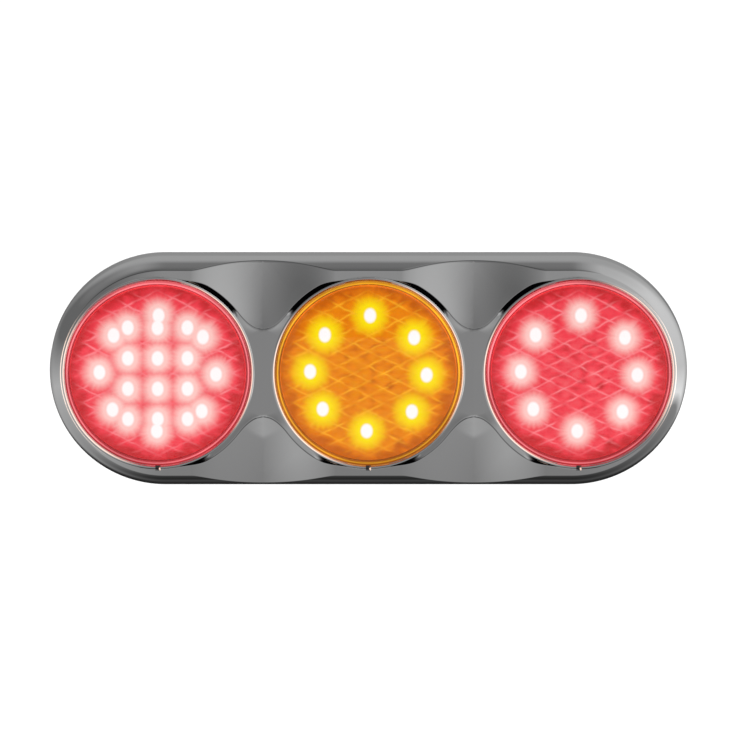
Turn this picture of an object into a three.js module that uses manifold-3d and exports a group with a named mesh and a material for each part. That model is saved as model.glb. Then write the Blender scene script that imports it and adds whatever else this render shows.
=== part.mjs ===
// Triple round trailer tail light, in millimetres, +Z up.
//
// The lights look along -Y and the back face of the foam gasket lies on the plane Y = 0.
// Every piece is drawn lying on its back, in a local frame with x along the row of lamps,
// y up the light and z forward out of the mounting plane. The outer group stands it up.

import * as THREE from 'three';
import { mergeVertices } from 'three/addons/utils/BufferGeometryUtils.js';
import Module from 'manifold-3d';

const wasm = await Module();
wasm.setup();

// Driving dimensions
const END_RADIUS = 51.2;          // round ends of the bezel outline
const END_X = 90.3;               // centre of each round end
const LAMP_PITCH = 93.4;          // lamp to lamp
const OPENING_RADIUS = 41.7;      // bezel openings and tray sockets
const RING_Z = 25;                // front of the bezel at the edge of an opening
const ROOF_SLOPE = 0.25;          // fall of the bezel's front from the lamps to its edge
const RECESS_SLOPE = 0.7;         // rise of the recess wall around each lens
const RECESS_RADIUS = 42.5;       // foot of the recess wall
const BRIDGE_Z = 25;              // flat front between two lamps
const SCOOP = { reach: 32, tip: 19.7, fall: 0.087, bend: 0.00222 };
const FLANK_WIDTH = 6.1;          // rounded flank, seen from the front
const FLANK_START_Z = 8;          // where the flank begins to round over
const BEZEL_WALL = 2.2;
const BEZEL_BACK_Z = 2.3;
const COLLAR_WALL = 1.8;          // collar behind each opening
const COLLAR_BACK_Z = 18.6;
const GASKET_THICKNESS = 2;
const GASKET_EDGE = 46.8;         // half height of the gasket
const TRAY_EDGE = 48.6;           // half height of the tray
const TRAY_BACK_Z = 2.3;
const TRAY_FLOOR = 2.5;
const TRAY_RIM_Z = 12;
const SOCKET_WALL = 1.5;
const SOCKET_FRONT_Z = 18.3;
const LEDGE_INNER_RADIUS = 38.6;  // ledge that a lamp rests on
const LEDGE_FRONT_Z = 8.2;
const CLEARANCE = 0.3;            // between neighbouring pieces

const SCREW_X = LAMP_PITCH / 2;
const SCREW_Y = 37;
const BUSH_Y = 30;
const CABLE_HOLE_RADIUS = 8.5;
const CABLE_HOLE_Y = -13;
const HEAD_CLEARANCE_RADIUS = 4.2;
const HEAD_RADIUS = 3.8;
const HEAD_HEIGHT = 1.7;
const SHANK_RADIUS = 1.75;
const SCREW_TIP_Z = 18;
const BUSH_HOLE_RADIUS = 4.9;
const BUSH_RADIUS = 4.5;
const BUSH_BORE_RADIUS = 2.6;

const HOUSING_RADIUS = 39.6;
const HOUSING_BORE = 37;
const HOUSING_BACK_Z = 8.5;
const HOUSING_FLOOR = 1.8;
const HOUSING_FRONT_Z = 23;
const FLANGE_RADIUS = 40.9;
const FLANGE_BACK_Z = 20.6;
const RING_GROOVE = { inner: 38.4, backZ: 13.7, frontZ: 17.3 };
const SEAL_GROOVE = { inner: 38.5, outer: 40.1, backZ: 21.6 };
const CABLE_BORE_RADIUS = 5;
const LENS_RADIUS = 41.3;
const LENS_EDGE_Z = 25.6;
const LENS_CROWN_Z = 28.6;
const LENS_WALL = 2.2;
const BOARD_Z = 15;
const BOARD_THICKNESS = 1.6;
const LED_SIZE = 3.4;
const LED_HEIGHT = 1.2;
const OPTIC_Z = 20.6;
const OPTIC_THICKNESS = 1.6;
const INNER_RADIUS = HOUSING_BORE - CLEARANCE;

const ROUND = 36;                 // sides of the lenses, the openings and the outline
const INNER_ROUND = 24;           // sides of the pieces inside
const SMALL_ROUND = 12;           // sides of glands, bosses and holes

// Lamps, left to right: colour, ring of LEDs turned a little, extra rows of LEDs
const LED_RING_RADIUS = 25.5;
const LED_RING_ANGLES = [0, 40, 90, 140, 180, 220, 270, 320];
const LED_COLUMNS = [-13.2, 0, 13.2];
const LED_ROWS = [-20.4, -6.8, 6.8, 20.4];
const LAMPS = [
  { name: 'left', x: -LAMP_PITCH, colour: 0xd81f2e, turn: -1, rows: true },
  { name: 'centre', x: 0, colour: 0xf28a00, turn: -1.7, rows: false },
  { name: 'right', x: LAMP_PITCH, colour: 0xd81f2e, turn: -1.7, rows: false },
];

const radians = THREE.MathUtils.degToRad;

// Solids

function solidOf(geometry) {
  const bare = geometry.clone();
  bare.deleteAttribute('normal');
  bare.deleteAttribute('uv');
  const merged = mergeVertices(bare, 1e-4);
  const corner = merged.attributes.position;
  const index = merged.index.array;
  const triangles = [];
  let volume = 0;
  const [a, b, c] = [new THREE.Vector3(), new THREE.Vector3(), new THREE.Vector3()];
  for (let i = 0; i < index.length; i += 3) {
    const [p, q, r] = [index[i], index[i + 1], index[i + 2]];
    if (p === q || q === r || r === p) continue;
    triangles.push(p, q, r);
    a.fromBufferAttribute(corner, p);
    b.fromBufferAttribute(corner, q);
    c.fromBufferAttribute(corner, r);
    volume += a.dot(b.cross(c));
  }
  if (volume < 0) triangles.reverse();
  const mesh = new wasm.Mesh({
    numProp: 3,
    vertProperties: new Float32Array(corner.array),
    triVerts: new Uint32Array(triangles),
  });
  return new wasm.Manifold(mesh);
}

function geometryOf(solid) {
  const mesh = solid.getMesh();
  const geometry = new THREE.BufferGeometry();
  geometry.setAttribute('position', new THREE.BufferAttribute(mesh.vertProperties, 3));
  geometry.setIndex(new THREE.BufferAttribute(mesh.triVerts, 1));
  geometry.computeVertexNormals();
  return geometry;
}

function join(solids) {
  return solids.reduce((whole, piece) => whole.add(piece));
}

function cut(body, tools) {
  return tools.reduce((left, tool) => left.subtract(tool), body);
}

// A profile of [radius, z] points turned about a line along z at (x, y).
function turned(profile, x = 0, y = 0, sides = ROUND) {
  const points = profile.map(([radius, z]) => new THREE.Vector2(radius, z));
  const geometry = new THREE.LatheGeometry(points, sides);
  geometry.rotateX(Math.PI / 2);
  geometry.translate(x, y, 0);
  return solidOf(geometry);
}

// The same, for a profile that doesn't touch the axis.
function ring(profile, x = 0, y = 0, sides = INNER_ROUND) {
  return turned([...profile, profile[0]], x, y, sides);
}

function disc(radius, from, to, x = 0, y = 0, sides = SMALL_ROUND) {
  return turned([[0, from], [radius, from], [radius, to], [0, to]], x, y, sides);
}

function tube(inner, outer, from, to, x = 0, y = 0, sides = INNER_ROUND) {
  return ring([[inner, from], [outer, from], [outer, to], [inner, to]], x, y, sides);
}

function block(width, height, from, to, x, y) {
  const geometry = new THREE.BoxGeometry(width, height, to - from);
  geometry.translate(x, y, (from + to) / 2);
  return solidOf(geometry);
}

// A plate with straight sides and round ends, the outline of the whole light.
function stadium(edge, from, to) {
  const shape = new THREE.Shape();
  shape.absarc(END_X, 0, edge, -Math.PI / 2, Math.PI / 2);
  shape.absarc(-END_X, 0, edge, Math.PI / 2, 1.5 * Math.PI);
  const settings = { depth: to - from, bevelEnabled: false, curveSegments: ROUND / 2 };
  const geometry = new THREE.ExtrudeGeometry(shape, settings);
  geometry.translate(0, 0, from);
  return solidOf(geometry);
}

// The hipped body of the bezel: a profile of [distance from the centre line, z] points,
// run along the row and turned about each end.
function hipped(profile) {
  const last = profile.length - 1;
  const other = profile.slice(1, last).map(([distance, z]) => [-distance, z]).reverse();
  const section = new THREE.Shape([...profile, ...other].map((p) => new THREE.Vector2(...p)));
  const settings = { depth: 2 * END_X, bevelEnabled: false };
  const geometry = new THREE.ExtrudeGeometry(section, settings);
  const along = new THREE.Matrix4().makeBasis(
    new THREE.Vector3(0, 1, 0),
    new THREE.Vector3(0, 0, 1),
    new THREE.Vector3(1, 0, 0),
  );
  geometry.applyMatrix4(along);
  geometry.translate(-END_X, 0, 0);
  return join([solidOf(geometry), turned(profile, END_X), turned(profile, -END_X)]);
}

function fourCorners(x, y) {
  return [[-x, -y], [x, -y], [-x, y], [x, y]];
}

const screwPlaces = fourCorners(SCREW_X, SCREW_Y);
const bushPlaces = fourCorners(LAMP_PITCH, BUSH_Y);

// Front height of the bezel at a distance from the centre line.
function roofZ(distance) {
  return RING_Z + ROOF_SLOPE * (RECESS_RADIUS - distance);
}

// The bezel's section, shrunk inwards by an inset.
function bezelProfile(inset, back) {
  const edge = END_RADIUS - inset;
  const shoulder = END_RADIUS - FLANK_WIDTH - inset / 2;
  const top = roofZ(shoulder) - inset;
  const steps = 4;
  const flank = [];
  for (let i = 0; i <= steps; i++) {
    const angle = (i / steps) * (Math.PI / 2);
    const distance = shoulder + (edge - shoulder) * Math.cos(angle);
    flank.push([distance, FLANK_START_Z + (top - FLANK_START_Z) * Math.sin(angle)]);
  }
  return [[0, back], [edge, back], ...flank, [0, roofZ(0) - inset]];
}

// A lamp opening with its flared recess, widened by a wall for the inside of the shell.
function recess(x, wall, back) {
  const far = 62;
  const foot = RECESS_RADIUS + wall;
  const footZ = RING_Z - 1.4 * wall;
  const farZ = footZ + RECESS_SLOPE * (far - foot);
  const bore = OPENING_RADIUS + wall;
  const profile = [[0, back], [bore, back], [bore, footZ - 0.6], [foot, footZ], [far, farZ], [0, farZ]];
  return turned(profile, x);
}

// Front height of the bezel beside the middle between two lamps: flat between the lamps,
// with a scoop that widens and falls away towards the long edges.
function scoopZ(across, up) {
  const beyond = Math.abs(up) - SCOOP.tip;
  if (beyond <= 0) return BRIDGE_Z;
  const roof = roofZ(Math.abs(up));
  const valley = BRIDGE_Z - SCOOP.fall * beyond - SCOOP.bend * beyond ** 2;
  const inwards = 1 - Math.abs(across) / SCOOP.reach;
  return roof + (valley - roof) * Math.sin((Math.PI / 2) * inwards) ** 1.7;
}

// The space in front of one bridge and its two scoops, moved back by an inset.
function scoopSpace(x, inset) {
  const top = 45;
  const columns = 16;
  const rows = [0, SCOOP.tip, 22.5, 26, 30, 34, 38, 42, 46, 50, 56];
  const ups = [...rows.slice(1).map((up) => -up).reverse(), ...rows];
  const positions = [];
  for (const level of ['scoop', 'top']) {
    for (const up of ups) {
      for (let i = 0; i <= columns; i++) {
        const across = SCOOP.reach * (2 * (i / columns) - 1);
        positions.push(x + across, up, level === 'top' ? top : scoopZ(across, up) - inset);
      }
    }
  }
  const row = columns + 1;
  const layer = row * ups.length;
  const lastRow = layer - row;
  const index = [];
  const quad = (a, b, c, d) => index.push(a, b, c, a, c, d);
  const wall = (from, to) => quad(from, to, to + layer, from + layer);
  for (let start = 0; start < lastRow; start += row) {
    for (let a = start; a < start + columns; a++) {
      quad(a, a + row, a + row + 1, a + 1);
      quad(layer + a, layer + a + 1, layer + a + row + 1, layer + a + row);
    }
    wall(start + row, start);
    wall(start + columns, start + row + columns);
  }
  for (let i = 0; i < columns; i++) {
    wall(i, i + 1);
    wall(lastRow + i + 1, lastRow + i);
  }
  const geometry = new THREE.BufferGeometry();
  geometry.setAttribute('position', new THREE.Float32BufferAttribute(positions, 3));
  geometry.setIndex(index);
  return solidOf(geometry);
}

function chromeBezel() {
  const below = -5;
  const notchWidth = 3.6;
  const notchDepth = 2.2;
  const notchBackZ = 23;
  const bossRadius = 4;
  const pilotRadius = 2.05;
  const bossBackZ = TRAY_BACK_Z + TRAY_FLOOR + 2.3;
  const bossFrontZ = scoopZ(0, SCREW_Y + bossRadius) - 0.5;
  const xs = LAMPS.map((lamp) => lamp.x);
  const bridges = [-LAMP_PITCH / 2, LAMP_PITCH / 2];
  const inside = hipped(bezelProfile(BEZEL_WALL, below));
  const hollow = cut(inside, [
    ...xs.map((x) => recess(x, COLLAR_WALL, 2 * below)),
    ...bridges.map((x) => scoopSpace(x, BEZEL_WALL)),
  ]);
  const behind = stadium(END_RADIUS - BEZEL_WALL, below, COLLAR_BACK_Z);
  const notches = xs.map((x) => block(
    notchWidth, 2 * notchDepth, notchBackZ, RING_Z + 2 * notchDepth, x, -OPENING_RADIUS,
  ));
  const openings = xs.map((x) => recess(x, 0, below));
  const scoops = bridges.map((x) => scoopSpace(x, 0));
  const shell = cut(
    hipped(bezelProfile(0, BEZEL_BACK_Z)),
    [hollow, behind, ...openings, ...notches, ...scoops],
  );
  const bosses = screwPlaces.map(([x, y]) => disc(bossRadius, bossBackZ, bossFrontZ, x, y));
  const pilots = screwPlaces.map(([x, y]) => disc(pilotRadius, below, RING_Z - 6, x, y));
  return cut(join([shell, ...bosses]), pilots);
}

function bezelScrew(x, y) {
  const backZ = TRAY_BACK_Z + CLEARANCE;
  const neckZ = backZ + HEAD_HEIGHT;
  const chamfer = 0.7;
  return turned([
    [0, backZ],
    [HEAD_RADIUS - chamfer, backZ],
    [HEAD_RADIUS, backZ + chamfer - 0.1],
    [HEAD_RADIUS, neckZ],
    [SHANK_RADIUS, neckZ],
    [SHANK_RADIUS, SCREW_TIP_Z - 1],
    [0, SCREW_TIP_Z],
  ], x, y, SMALL_ROUND);
}

function baseTray() {
  const floorZ = TRAY_BACK_Z + TRAY_FLOOR;
  const padZ = floorZ + 2;
  const padRadius = 5.6;
  const screwHoleRadius = 2.3;
  const below = TRAY_BACK_Z - 1;
  const floor = stadium(TRAY_EDGE, TRAY_BACK_Z, floorZ);
  const rimWall = 2;
  const hollow = stadium(TRAY_EDGE - rimWall, floorZ - 1, TRAY_RIM_Z + 1);
  const rim = stadium(TRAY_EDGE, floorZ - 1, TRAY_RIM_Z).subtract(hollow);
  const socketOuter = OPENING_RADIUS + SOCKET_WALL;
  const pieces = [floor, rim];
  const holes = [];
  for (const { x } of LAMPS) {
    pieces.push(ring([
      [LEDGE_INNER_RADIUS, floorZ - 1],
      [socketOuter, floorZ - 1],
      [socketOuter, SOCKET_FRONT_Z],
      [OPENING_RADIUS, SOCKET_FRONT_Z],
      [OPENING_RADIUS, LEDGE_FRONT_Z],
      [LEDGE_INNER_RADIUS, LEDGE_FRONT_Z],
    ], x));
    holes.push(disc(CABLE_HOLE_RADIUS, below, padZ, x, CABLE_HOLE_Y, 16));
  }
  for (const [x, y] of screwPlaces) {
    pieces.push(disc(padRadius, floorZ - 1, padZ, x, y));
    holes.push(disc(screwHoleRadius, below, padZ + 1, x, y));
    holes.push(disc(HEAD_CLEARANCE_RADIUS, below, floorZ - 0.2, x, y));
  }
  for (const [x, y] of bushPlaces) {
    holes.push(disc(BUSH_HOLE_RADIUS, below, padZ, x, y));
  }
  return cut(join(pieces), holes);
}

function foamGasket() {
  const sheet = stadium(GASKET_EDGE, 0, GASKET_THICKNESS);
  const hole = (radius, x, y) => disc(radius, -1, GASKET_THICKNESS + 1, x, y);
  return cut(sheet, [
    ...LAMPS.map(({ x }) => hole(CABLE_HOLE_RADIUS + 1.5, x, CABLE_HOLE_Y)),
    ...screwPlaces.map(([x, y]) => hole(HEAD_CLEARANCE_RADIUS + 0.3, x, y)),
    ...bushPlaces.map(([x, y]) => hole(BUSH_HOLE_RADIUS + 0.3, x, y)),
  ]);
}

function mountBush(x, y) {
  const backZ = TRAY_BACK_Z + 0.1;
  return tube(BUSH_BORE_RADIUS, BUSH_RADIUS, backZ, backZ + TRAY_FLOOR + 0.1, x, y, SMALL_ROUND);
}

// Where a lamp's LEDs sit, as [x, y] from the lamp's centre.
function ledPlaces(lamp) {
  const places = LED_RING_ANGLES.map((angle) => {
    const turnedAngle = radians(angle + lamp.turn);
    return [LED_RING_RADIUS * Math.cos(turnedAngle), LED_RING_RADIUS * Math.sin(turnedAngle)];
  });
  if (!lamp.rows) return places;
  for (const x of LED_COLUMNS) {
    for (const y of LED_ROWS) places.push([x, y]);
  }
  return places;
}

// Domed cover, with a plain solid rim that closes on the housing.
function lens(lamp) {
  const seatZ = HOUSING_FRONT_Z + CLEARANCE;
  const crown = [];
  const steps = 4;
  for (let i = 0; i <= steps; i++) {
    const radius = (i / steps) * (LENS_RADIUS - 1);
    crown.push([radius, LENS_CROWN_Z - (LENS_CROWN_Z - LENS_EDGE_Z - 0.6) * (i / steps) ** 2]);
  }
  const profile = [
    ...crown,
    [LENS_RADIUS, LENS_EDGE_Z],
    [LENS_RADIUS, seatZ],
    [HOUSING_BORE, seatZ],
    [HOUSING_BORE, LENS_EDGE_Z - LENS_WALL + 0.8],
    [0, LENS_CROWN_Z - LENS_WALL],
  ];
  return turned(profile, lamp.x);
}

// Clear plate with a small collimator behind it in front of each LED.
function innerOptic(lamp) {
  const tipZ = BOARD_Z + BOARD_THICKNESS + LED_HEIGHT + 0.5;
  const plate = disc(INNER_RADIUS, OPTIC_Z, OPTIC_Z + OPTIC_THICKNESS, lamp.x, 0, INNER_ROUND);
  const cone = [[0, tipZ], [1.5, tipZ], [2.7, OPTIC_Z + 0.1], [0, OPTIC_Z + 0.1]];
  return join([plate, ...ledPlaces(lamp).map(([x, y]) => turned(cone, lamp.x + x, y, 6))]);
}

function ledBoard(lamp) {
  const front = BOARD_Z + BOARD_THICKNESS;
  const board = disc(INNER_RADIUS, BOARD_Z, front, lamp.x, 0, INNER_ROUND);
  return join([board, ...ledPlaces(lamp).map(
    ([x, y]) => block(LED_SIZE, LED_SIZE, front - 0.5, front + LED_HEIGHT, lamp.x + x, y),
  )]);
}

// Cup with a groove outside for the retaining ring and one in its flange for the seal.
function lampHousing(lamp) {
  return ring([
    [CABLE_BORE_RADIUS, HOUSING_BACK_Z],
    [HOUSING_RADIUS, HOUSING_BACK_Z],
    [HOUSING_RADIUS, RING_GROOVE.backZ],
    [RING_GROOVE.inner, RING_GROOVE.backZ],
    [RING_GROOVE.inner, RING_GROOVE.frontZ],
    [HOUSING_RADIUS, RING_GROOVE.frontZ],
    [HOUSING_RADIUS, FLANGE_BACK_Z],
    [FLANGE_RADIUS, FLANGE_BACK_Z],
    [FLANGE_RADIUS, HOUSING_FRONT_Z],
    [SEAL_GROOVE.outer, HOUSING_FRONT_Z],
    [SEAL_GROOVE.outer, SEAL_GROOVE.backZ],
    [SEAL_GROOVE.inner, SEAL_GROOVE.backZ],
    [SEAL_GROOVE.inner, HOUSING_FRONT_Z],
    [HOUSING_BORE, HOUSING_FRONT_Z],
    [HOUSING_BORE, HOUSING_BACK_Z + HOUSING_FLOOR],
    [CABLE_BORE_RADIUS, HOUSING_BACK_Z + HOUSING_FLOOR],
  ], lamp.x);
}

function lensSeal(lamp) {
  const gap = 0.35;
  const { inner, outer, backZ } = SEAL_GROOVE;
  return tube(inner + gap, outer - gap, backZ + CLEARANCE, HOUSING_FRONT_Z, lamp.x);
}

// Rubber ring that grips the socket.
function retainingRing(lamp) {
  const { inner, backZ, frontZ } = RING_GROOVE;
  const outer = OPENING_RADIUS - 2 * CLEARANCE;
  return tube(inner + CLEARANCE, outer, backZ + CLEARANCE, frontZ - CLEARANCE, lamp.x);
}

function potting(lamp) {
  const from = HOUSING_BACK_Z + HOUSING_FLOOR + CLEARANCE;
  return tube(CABLE_BORE_RADIUS, INNER_RADIUS, from, BOARD_Z - CLEARANCE, lamp.x);
}

function cableGland(lamp) {
  const bore = 2.6;
  const flange = 7.5;
  const flangeZ = HOUSING_BACK_Z - CLEARANCE;
  const stem = CABLE_BORE_RADIUS - CLEARANCE;
  const backZ = 6;
  const frontZ = 12;
  return ring([
    [bore, backZ],
    [flange - 1, backZ],
    [flange, backZ + 0.8],
    [flange, flangeZ],
    [stem, flangeZ],
    [stem, frontZ],
    [bore, frontZ],
  ], lamp.x, 0, SMALL_ROUND);
}

// Scene

const materials = {
  chrome: { color: 0xc9ccd0, roughness: 0.05, metalness: 1 },
  blackPlastic: { color: 0x141416, roughness: 0.5, metalness: 0 },
  foam: { color: 0x1c1c1e, roughness: 0.95, metalness: 0 },
  steel: { color: 0x9a9ca0, roughness: 0.35, metalness: 1 },
  board: { color: 0xf1f0ea, roughness: 0.45, metalness: 0 },
  clear: { color: 0xf4f6f7, roughness: 0.08, metalness: 0 },
  resin: { color: 0x1b1a1c, roughness: 0.3, metalness: 0 },
  rubber: { color: 0x202022, roughness: 0.8, metalness: 0 },
};

const light = new THREE.Group();
light.rotation.x = Math.PI / 2;

function addPiece(group, name, solid, look) {
  const mesh = new THREE.Mesh(geometryOf(solid), new THREE.MeshStandardMaterial(look));
  mesh.name = name;
  group.add(mesh);
}

addPiece(light, 'foam_gasket', foamGasket(), materials.foam);
addPiece(light, 'base_tray', baseTray(), materials.blackPlastic);
addPiece(light, 'chrome_bezel', chromeBezel(), materials.chrome);
screwPlaces.forEach(([x, y], i) => {
  addPiece(light, `bezel_screw_${i + 1}`, bezelScrew(x, y), materials.steel);
});
bushPlaces.forEach(([x, y], i) => {
  addPiece(light, `mount_bush_${i + 1}`, mountBush(x, y), materials.steel);
});

for (const lamp of LAMPS) {
  const unit = new THREE.Group();
  const lensLook = { color: lamp.colour, roughness: 0.08, metalness: 0 };
  addPiece(unit, `${lamp.name}_lens`, lens(lamp), lensLook);
  addPiece(unit, `${lamp.name}_lens_seal`, lensSeal(lamp), materials.rubber);
  addPiece(unit, `${lamp.name}_inner_optic`, innerOptic(lamp), materials.clear);
  addPiece(unit, `${lamp.name}_led_board`, ledBoard(lamp), materials.board);
  addPiece(unit, `${lamp.name}_potting`, potting(lamp), materials.resin);
  addPiece(unit, `${lamp.name}_lamp_housing`, lampHousing(lamp), materials.blackPlastic);
  addPiece(unit, `${lamp.name}_cable_gland`, cableGland(lamp), materials.rubber);
  addPiece(unit, `${lamp.name}_retaining_ring`, retainingRing(lamp), materials.rubber);
  light.add(unit);
}

const tailLight = new THREE.Group();
tailLight.add(light);

export default tailLight;
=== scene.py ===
"""Triple round tail light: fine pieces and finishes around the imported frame.

Every piece is shaped lying on its back, in metres: x runs along the row of lamps, y up the
light and z forward out of the mounting plane. A last turn stands it up, facing -Y.
"""

import math

import bmesh
import bpy
from bpy.props import FloatProperty, FloatVectorProperty, IntProperty, PointerProperty
from mathutils import Matrix, Vector, noise


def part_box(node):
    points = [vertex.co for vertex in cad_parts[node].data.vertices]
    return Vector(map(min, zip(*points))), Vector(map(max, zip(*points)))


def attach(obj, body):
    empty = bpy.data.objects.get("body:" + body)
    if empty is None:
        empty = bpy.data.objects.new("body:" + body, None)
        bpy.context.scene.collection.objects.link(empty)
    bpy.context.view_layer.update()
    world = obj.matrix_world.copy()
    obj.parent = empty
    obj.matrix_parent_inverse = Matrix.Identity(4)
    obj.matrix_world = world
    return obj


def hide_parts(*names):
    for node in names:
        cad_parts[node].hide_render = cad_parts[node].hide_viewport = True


bl_info = {
    "name": "Triple Round Tail Light",
    "version": (1, 0, 0),
    "blender": (4, 5, 0),
    "location": "3D View > Sidebar > Tail Light",
    "description": "Builds a chrome-framed tail light with three round lamps",
    "category": "Object",
}

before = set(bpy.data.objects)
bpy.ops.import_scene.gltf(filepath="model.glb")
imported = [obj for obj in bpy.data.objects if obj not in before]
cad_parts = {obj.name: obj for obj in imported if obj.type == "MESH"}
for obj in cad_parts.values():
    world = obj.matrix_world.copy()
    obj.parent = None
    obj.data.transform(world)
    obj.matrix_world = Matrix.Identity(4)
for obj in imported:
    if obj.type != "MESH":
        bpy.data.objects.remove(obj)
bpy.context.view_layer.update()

LAMPS = ("left", "centre", "right")
LAMP_COLOUR = {"left": "red", "centre": "amber", "right": "red"}
STANDING = Matrix.Rotation(math.radians(90), 4, "X")


def depths(node):
    """The back and front of a node, as distances out of the mounting plane."""
    low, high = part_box(node)
    return -high[1], -low[1]


def middle(node):
    low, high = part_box(node)
    return (low[0] + high[0]) / 2


LAMP_X = {lamp: middle(f"{lamp}_lens") for lamp in LAMPS}
BEZEL_LOW, BEZEL_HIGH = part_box("chrome_bezel")
END_RADIUS = (BEZEL_HIGH[2] - BEZEL_LOW[2]) / 2
END_X = BEZEL_HIGH[0] - END_RADIUS
HALF_PITCH = LAMP_X["right"] / 2
LENS_LOW, LENS_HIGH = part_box("centre_lens")
LENS_RADIUS = (LENS_HIGH[0] - LENS_LOW[0]) / 2
LENS_BACK, LENS_FRONT = depths("centre_lens")
TOUCH = 1e-6


# Settings


def shade(*levels):
    """A scene colour from display levels of 0 to 255."""
    values = [level / 255 for level in levels]
    return tuple(v / 12.92 if v <= 0.04045 else ((v + 0.055) / 1.055) ** 2.4 for v in values)


class TaillightBezelSettings(bpy.types.PropertyGroup):
    """The chrome shell's sculpted front."""

    opening: FloatProperty(
        name="Opening", description="Radius of the openings", default=0.0417, unit="LENGTH"
    )
    foot: FloatProperty(
        name="Lip", description="Outer radius of the lip round an opening",
        default=0.0429, unit="LENGTH",
    )
    ring: FloatProperty(
        name="Ring Depth", description="Front of the shell at the openings",
        default=0.025, unit="LENGTH",
    )
    roof_slope: FloatProperty(
        name="Roof Slope", description="Fall of the front towards the edge", default=0.25
    )
    bridge: FloatProperty(
        name="Bridge Depth", description="Front of the bridge between two lamps",
        default=0.02503, unit="LENGTH",
    )
    tip: FloatProperty(
        name="Scoop Tip", description="Height where a scoop starts between two lamps",
        default=0.0197, unit="LENGTH",
    )
    tip_bend: FloatProperty(
        name="Tip Bend", description="How sharply the start of a scoop curves", default=62.7
    )
    crease: FloatProperty(
        name="Crease", description="Radius of the crease between lip and scoop",
        default=0.04485, unit="LENGTH",
    )
    scoop_reach: FloatProperty(
        name="Scoop Reach", description="Half width of a scoop", default=0.032, unit="LENGTH"
    )
    scoop_fall: FloatProperty(
        name="Scoop Fall", description="Slope of a scoop at its tip", default=0.087
    )
    scoop_bend: FloatProperty(
        name="Scoop Bend", description="How the slope of a scoop grows", default=2.22
    )
    gap: FloatProperty(
        name="Shadow Gap", description="Depth of the gap between lip and crease",
        default=0.0009, unit="LENGTH",
    )
    flank: FloatProperty(
        name="Flank", description="Width of the rounded flank", default=0.0092, unit="LENGTH"
    )
    flank_depth: FloatProperty(
        name="Flank Depth", description="Height of the rounded flank",
        default=0.01075, unit="LENGTH",
    )
    flank_back: FloatProperty(
        name="Flank Back", description="Depth where the flank stands upright",
        default=0.01455, unit="LENGTH",
    )
    wall: FloatProperty(
        name="Wall", description="Thickness of the shell", default=0.0016, unit="LENGTH"
    )


class TaillightLensSettings(bpy.types.PropertyGroup):
    """The covers, their prisms and the light behind them."""

    red: FloatVectorProperty(
        name="Red", description="Lit colour of a red lamp",
        subtype="COLOR", default=shade(238, 64, 78),
    )
    red_glow: FloatVectorProperty(
        name="Red Glow", description="Colour around a red LED",
        subtype="COLOR", default=shade(252, 204, 198),
    )
    red_deep: FloatVectorProperty(
        name="Red Deep", description="Unlit colour of a red lamp",
        subtype="COLOR", default=shade(196, 40, 46),
    )
    amber: FloatVectorProperty(
        name="Amber", description="Lit colour of the amber lamp",
        subtype="COLOR", default=shade(230, 128, 2),
    )
    amber_glow: FloatVectorProperty(
        name="Amber Glow", description="Colour around an amber LED",
        subtype="COLOR", default=shade(250, 225, 7),
    )
    amber_deep: FloatVectorProperty(
        name="Amber Deep", description="Unlit colour of the amber lamp",
        subtype="COLOR", default=shade(196, 94, 1),
    )
    prism_width: FloatProperty(
        name="Prism Width", description="Width of a diamond prism", default=0.0133, unit="LENGTH"
    )
    prism_height: FloatProperty(
        name="Prism Height", description="Height of a diamond prism", default=0.0067, unit="LENGTH"
    )
    prism_relief: FloatProperty(
        name="Prism Relief", description="How far a prism stands out", default=0.0005, unit="LENGTH"
    )
    prism_steps: IntProperty(
        name="Prism Steps", description="Mesh steps along a prism's side", default=16
    )
    prism_reach: FloatProperty(
        name="Prism Reach", description="Radius of the prism field", default=0.0388, unit="LENGTH"
    )
    led_ring: FloatProperty(
        name="LED Ring", description="Radius of the ring of LEDs", default=0.0258, unit="LENGTH"
    )
    glow_reach: FloatProperty(
        name="Glow Reach", description="How far an LED's glow spreads",
        default=0.0135, unit="LENGTH",
    )


class TaillightBackSettings(bpy.types.PropertyGroup):
    """The gasket and the tray."""

    cable_hole: FloatProperty(
        name="Cable Hole", description="Radius of the tray's cable holes",
        default=0.0085, unit="LENGTH",
    )
    cable_drop: FloatProperty(
        name="Cable Drop", description="Height of the cable holes", default=-0.013, unit="LENGTH"
    )
    tray_floor: FloatProperty(
        name="Tray Floor", description="Thickness of the tray's floor",
        default=0.0025, unit="LENGTH",
    )
    tray_rim: FloatProperty(
        name="Tray Rim", description="Front of the rim round the tray", default=0.012, unit="LENGTH"
    )


class TaillightStageSettings(bpy.types.PropertyGroup):
    """Floor and camera."""

    floor_drop: FloatProperty(
        name="Floor Drop", description="Floor below the light's centre", default=0.35, unit="LENGTH"
    )
    lens: FloatProperty(name="Lens", description="Focal length", default=600.0)
    elevation: FloatProperty(
        name="Elevation", description="Camera height above the light",
        default=math.radians(8), subtype="ANGLE",
    )
    view_width: FloatProperty(
        name="View Width", description="Width of the view at the light",
        default=0.3306, unit="LENGTH",
    )


# Mesh helpers


def blend(low, high, value):
    """Smooth step from 0 at low to 1 at high."""
    t = min(1.0, max(0.0, (value - low) / (high - low)))
    return t * t * (3 - 2 * t)


def rounded(points, steps=3):
    """A profile of (radius, depth, rounding) points with its corners turned into curves."""
    profile = []
    for i, (radius, depth, rounding) in enumerate(points):
        corner = Vector((radius, depth))
        if not rounding:
            profile.append(tuple(corner))
            continue
        before = Vector(points[i - 1][:2])
        after = Vector(points[(i + 1) % len(points)][:2])
        start = corner + (before - corner).normalized() * rounding
        end = corner + (after - corner).normalized() * rounding
        for step in range(steps + 1):
            t = step / steps
            profile.append(tuple(start * (1 - t) ** 2 + corner * 2 * t * (1 - t) + end * t**2))
    return profile


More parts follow.
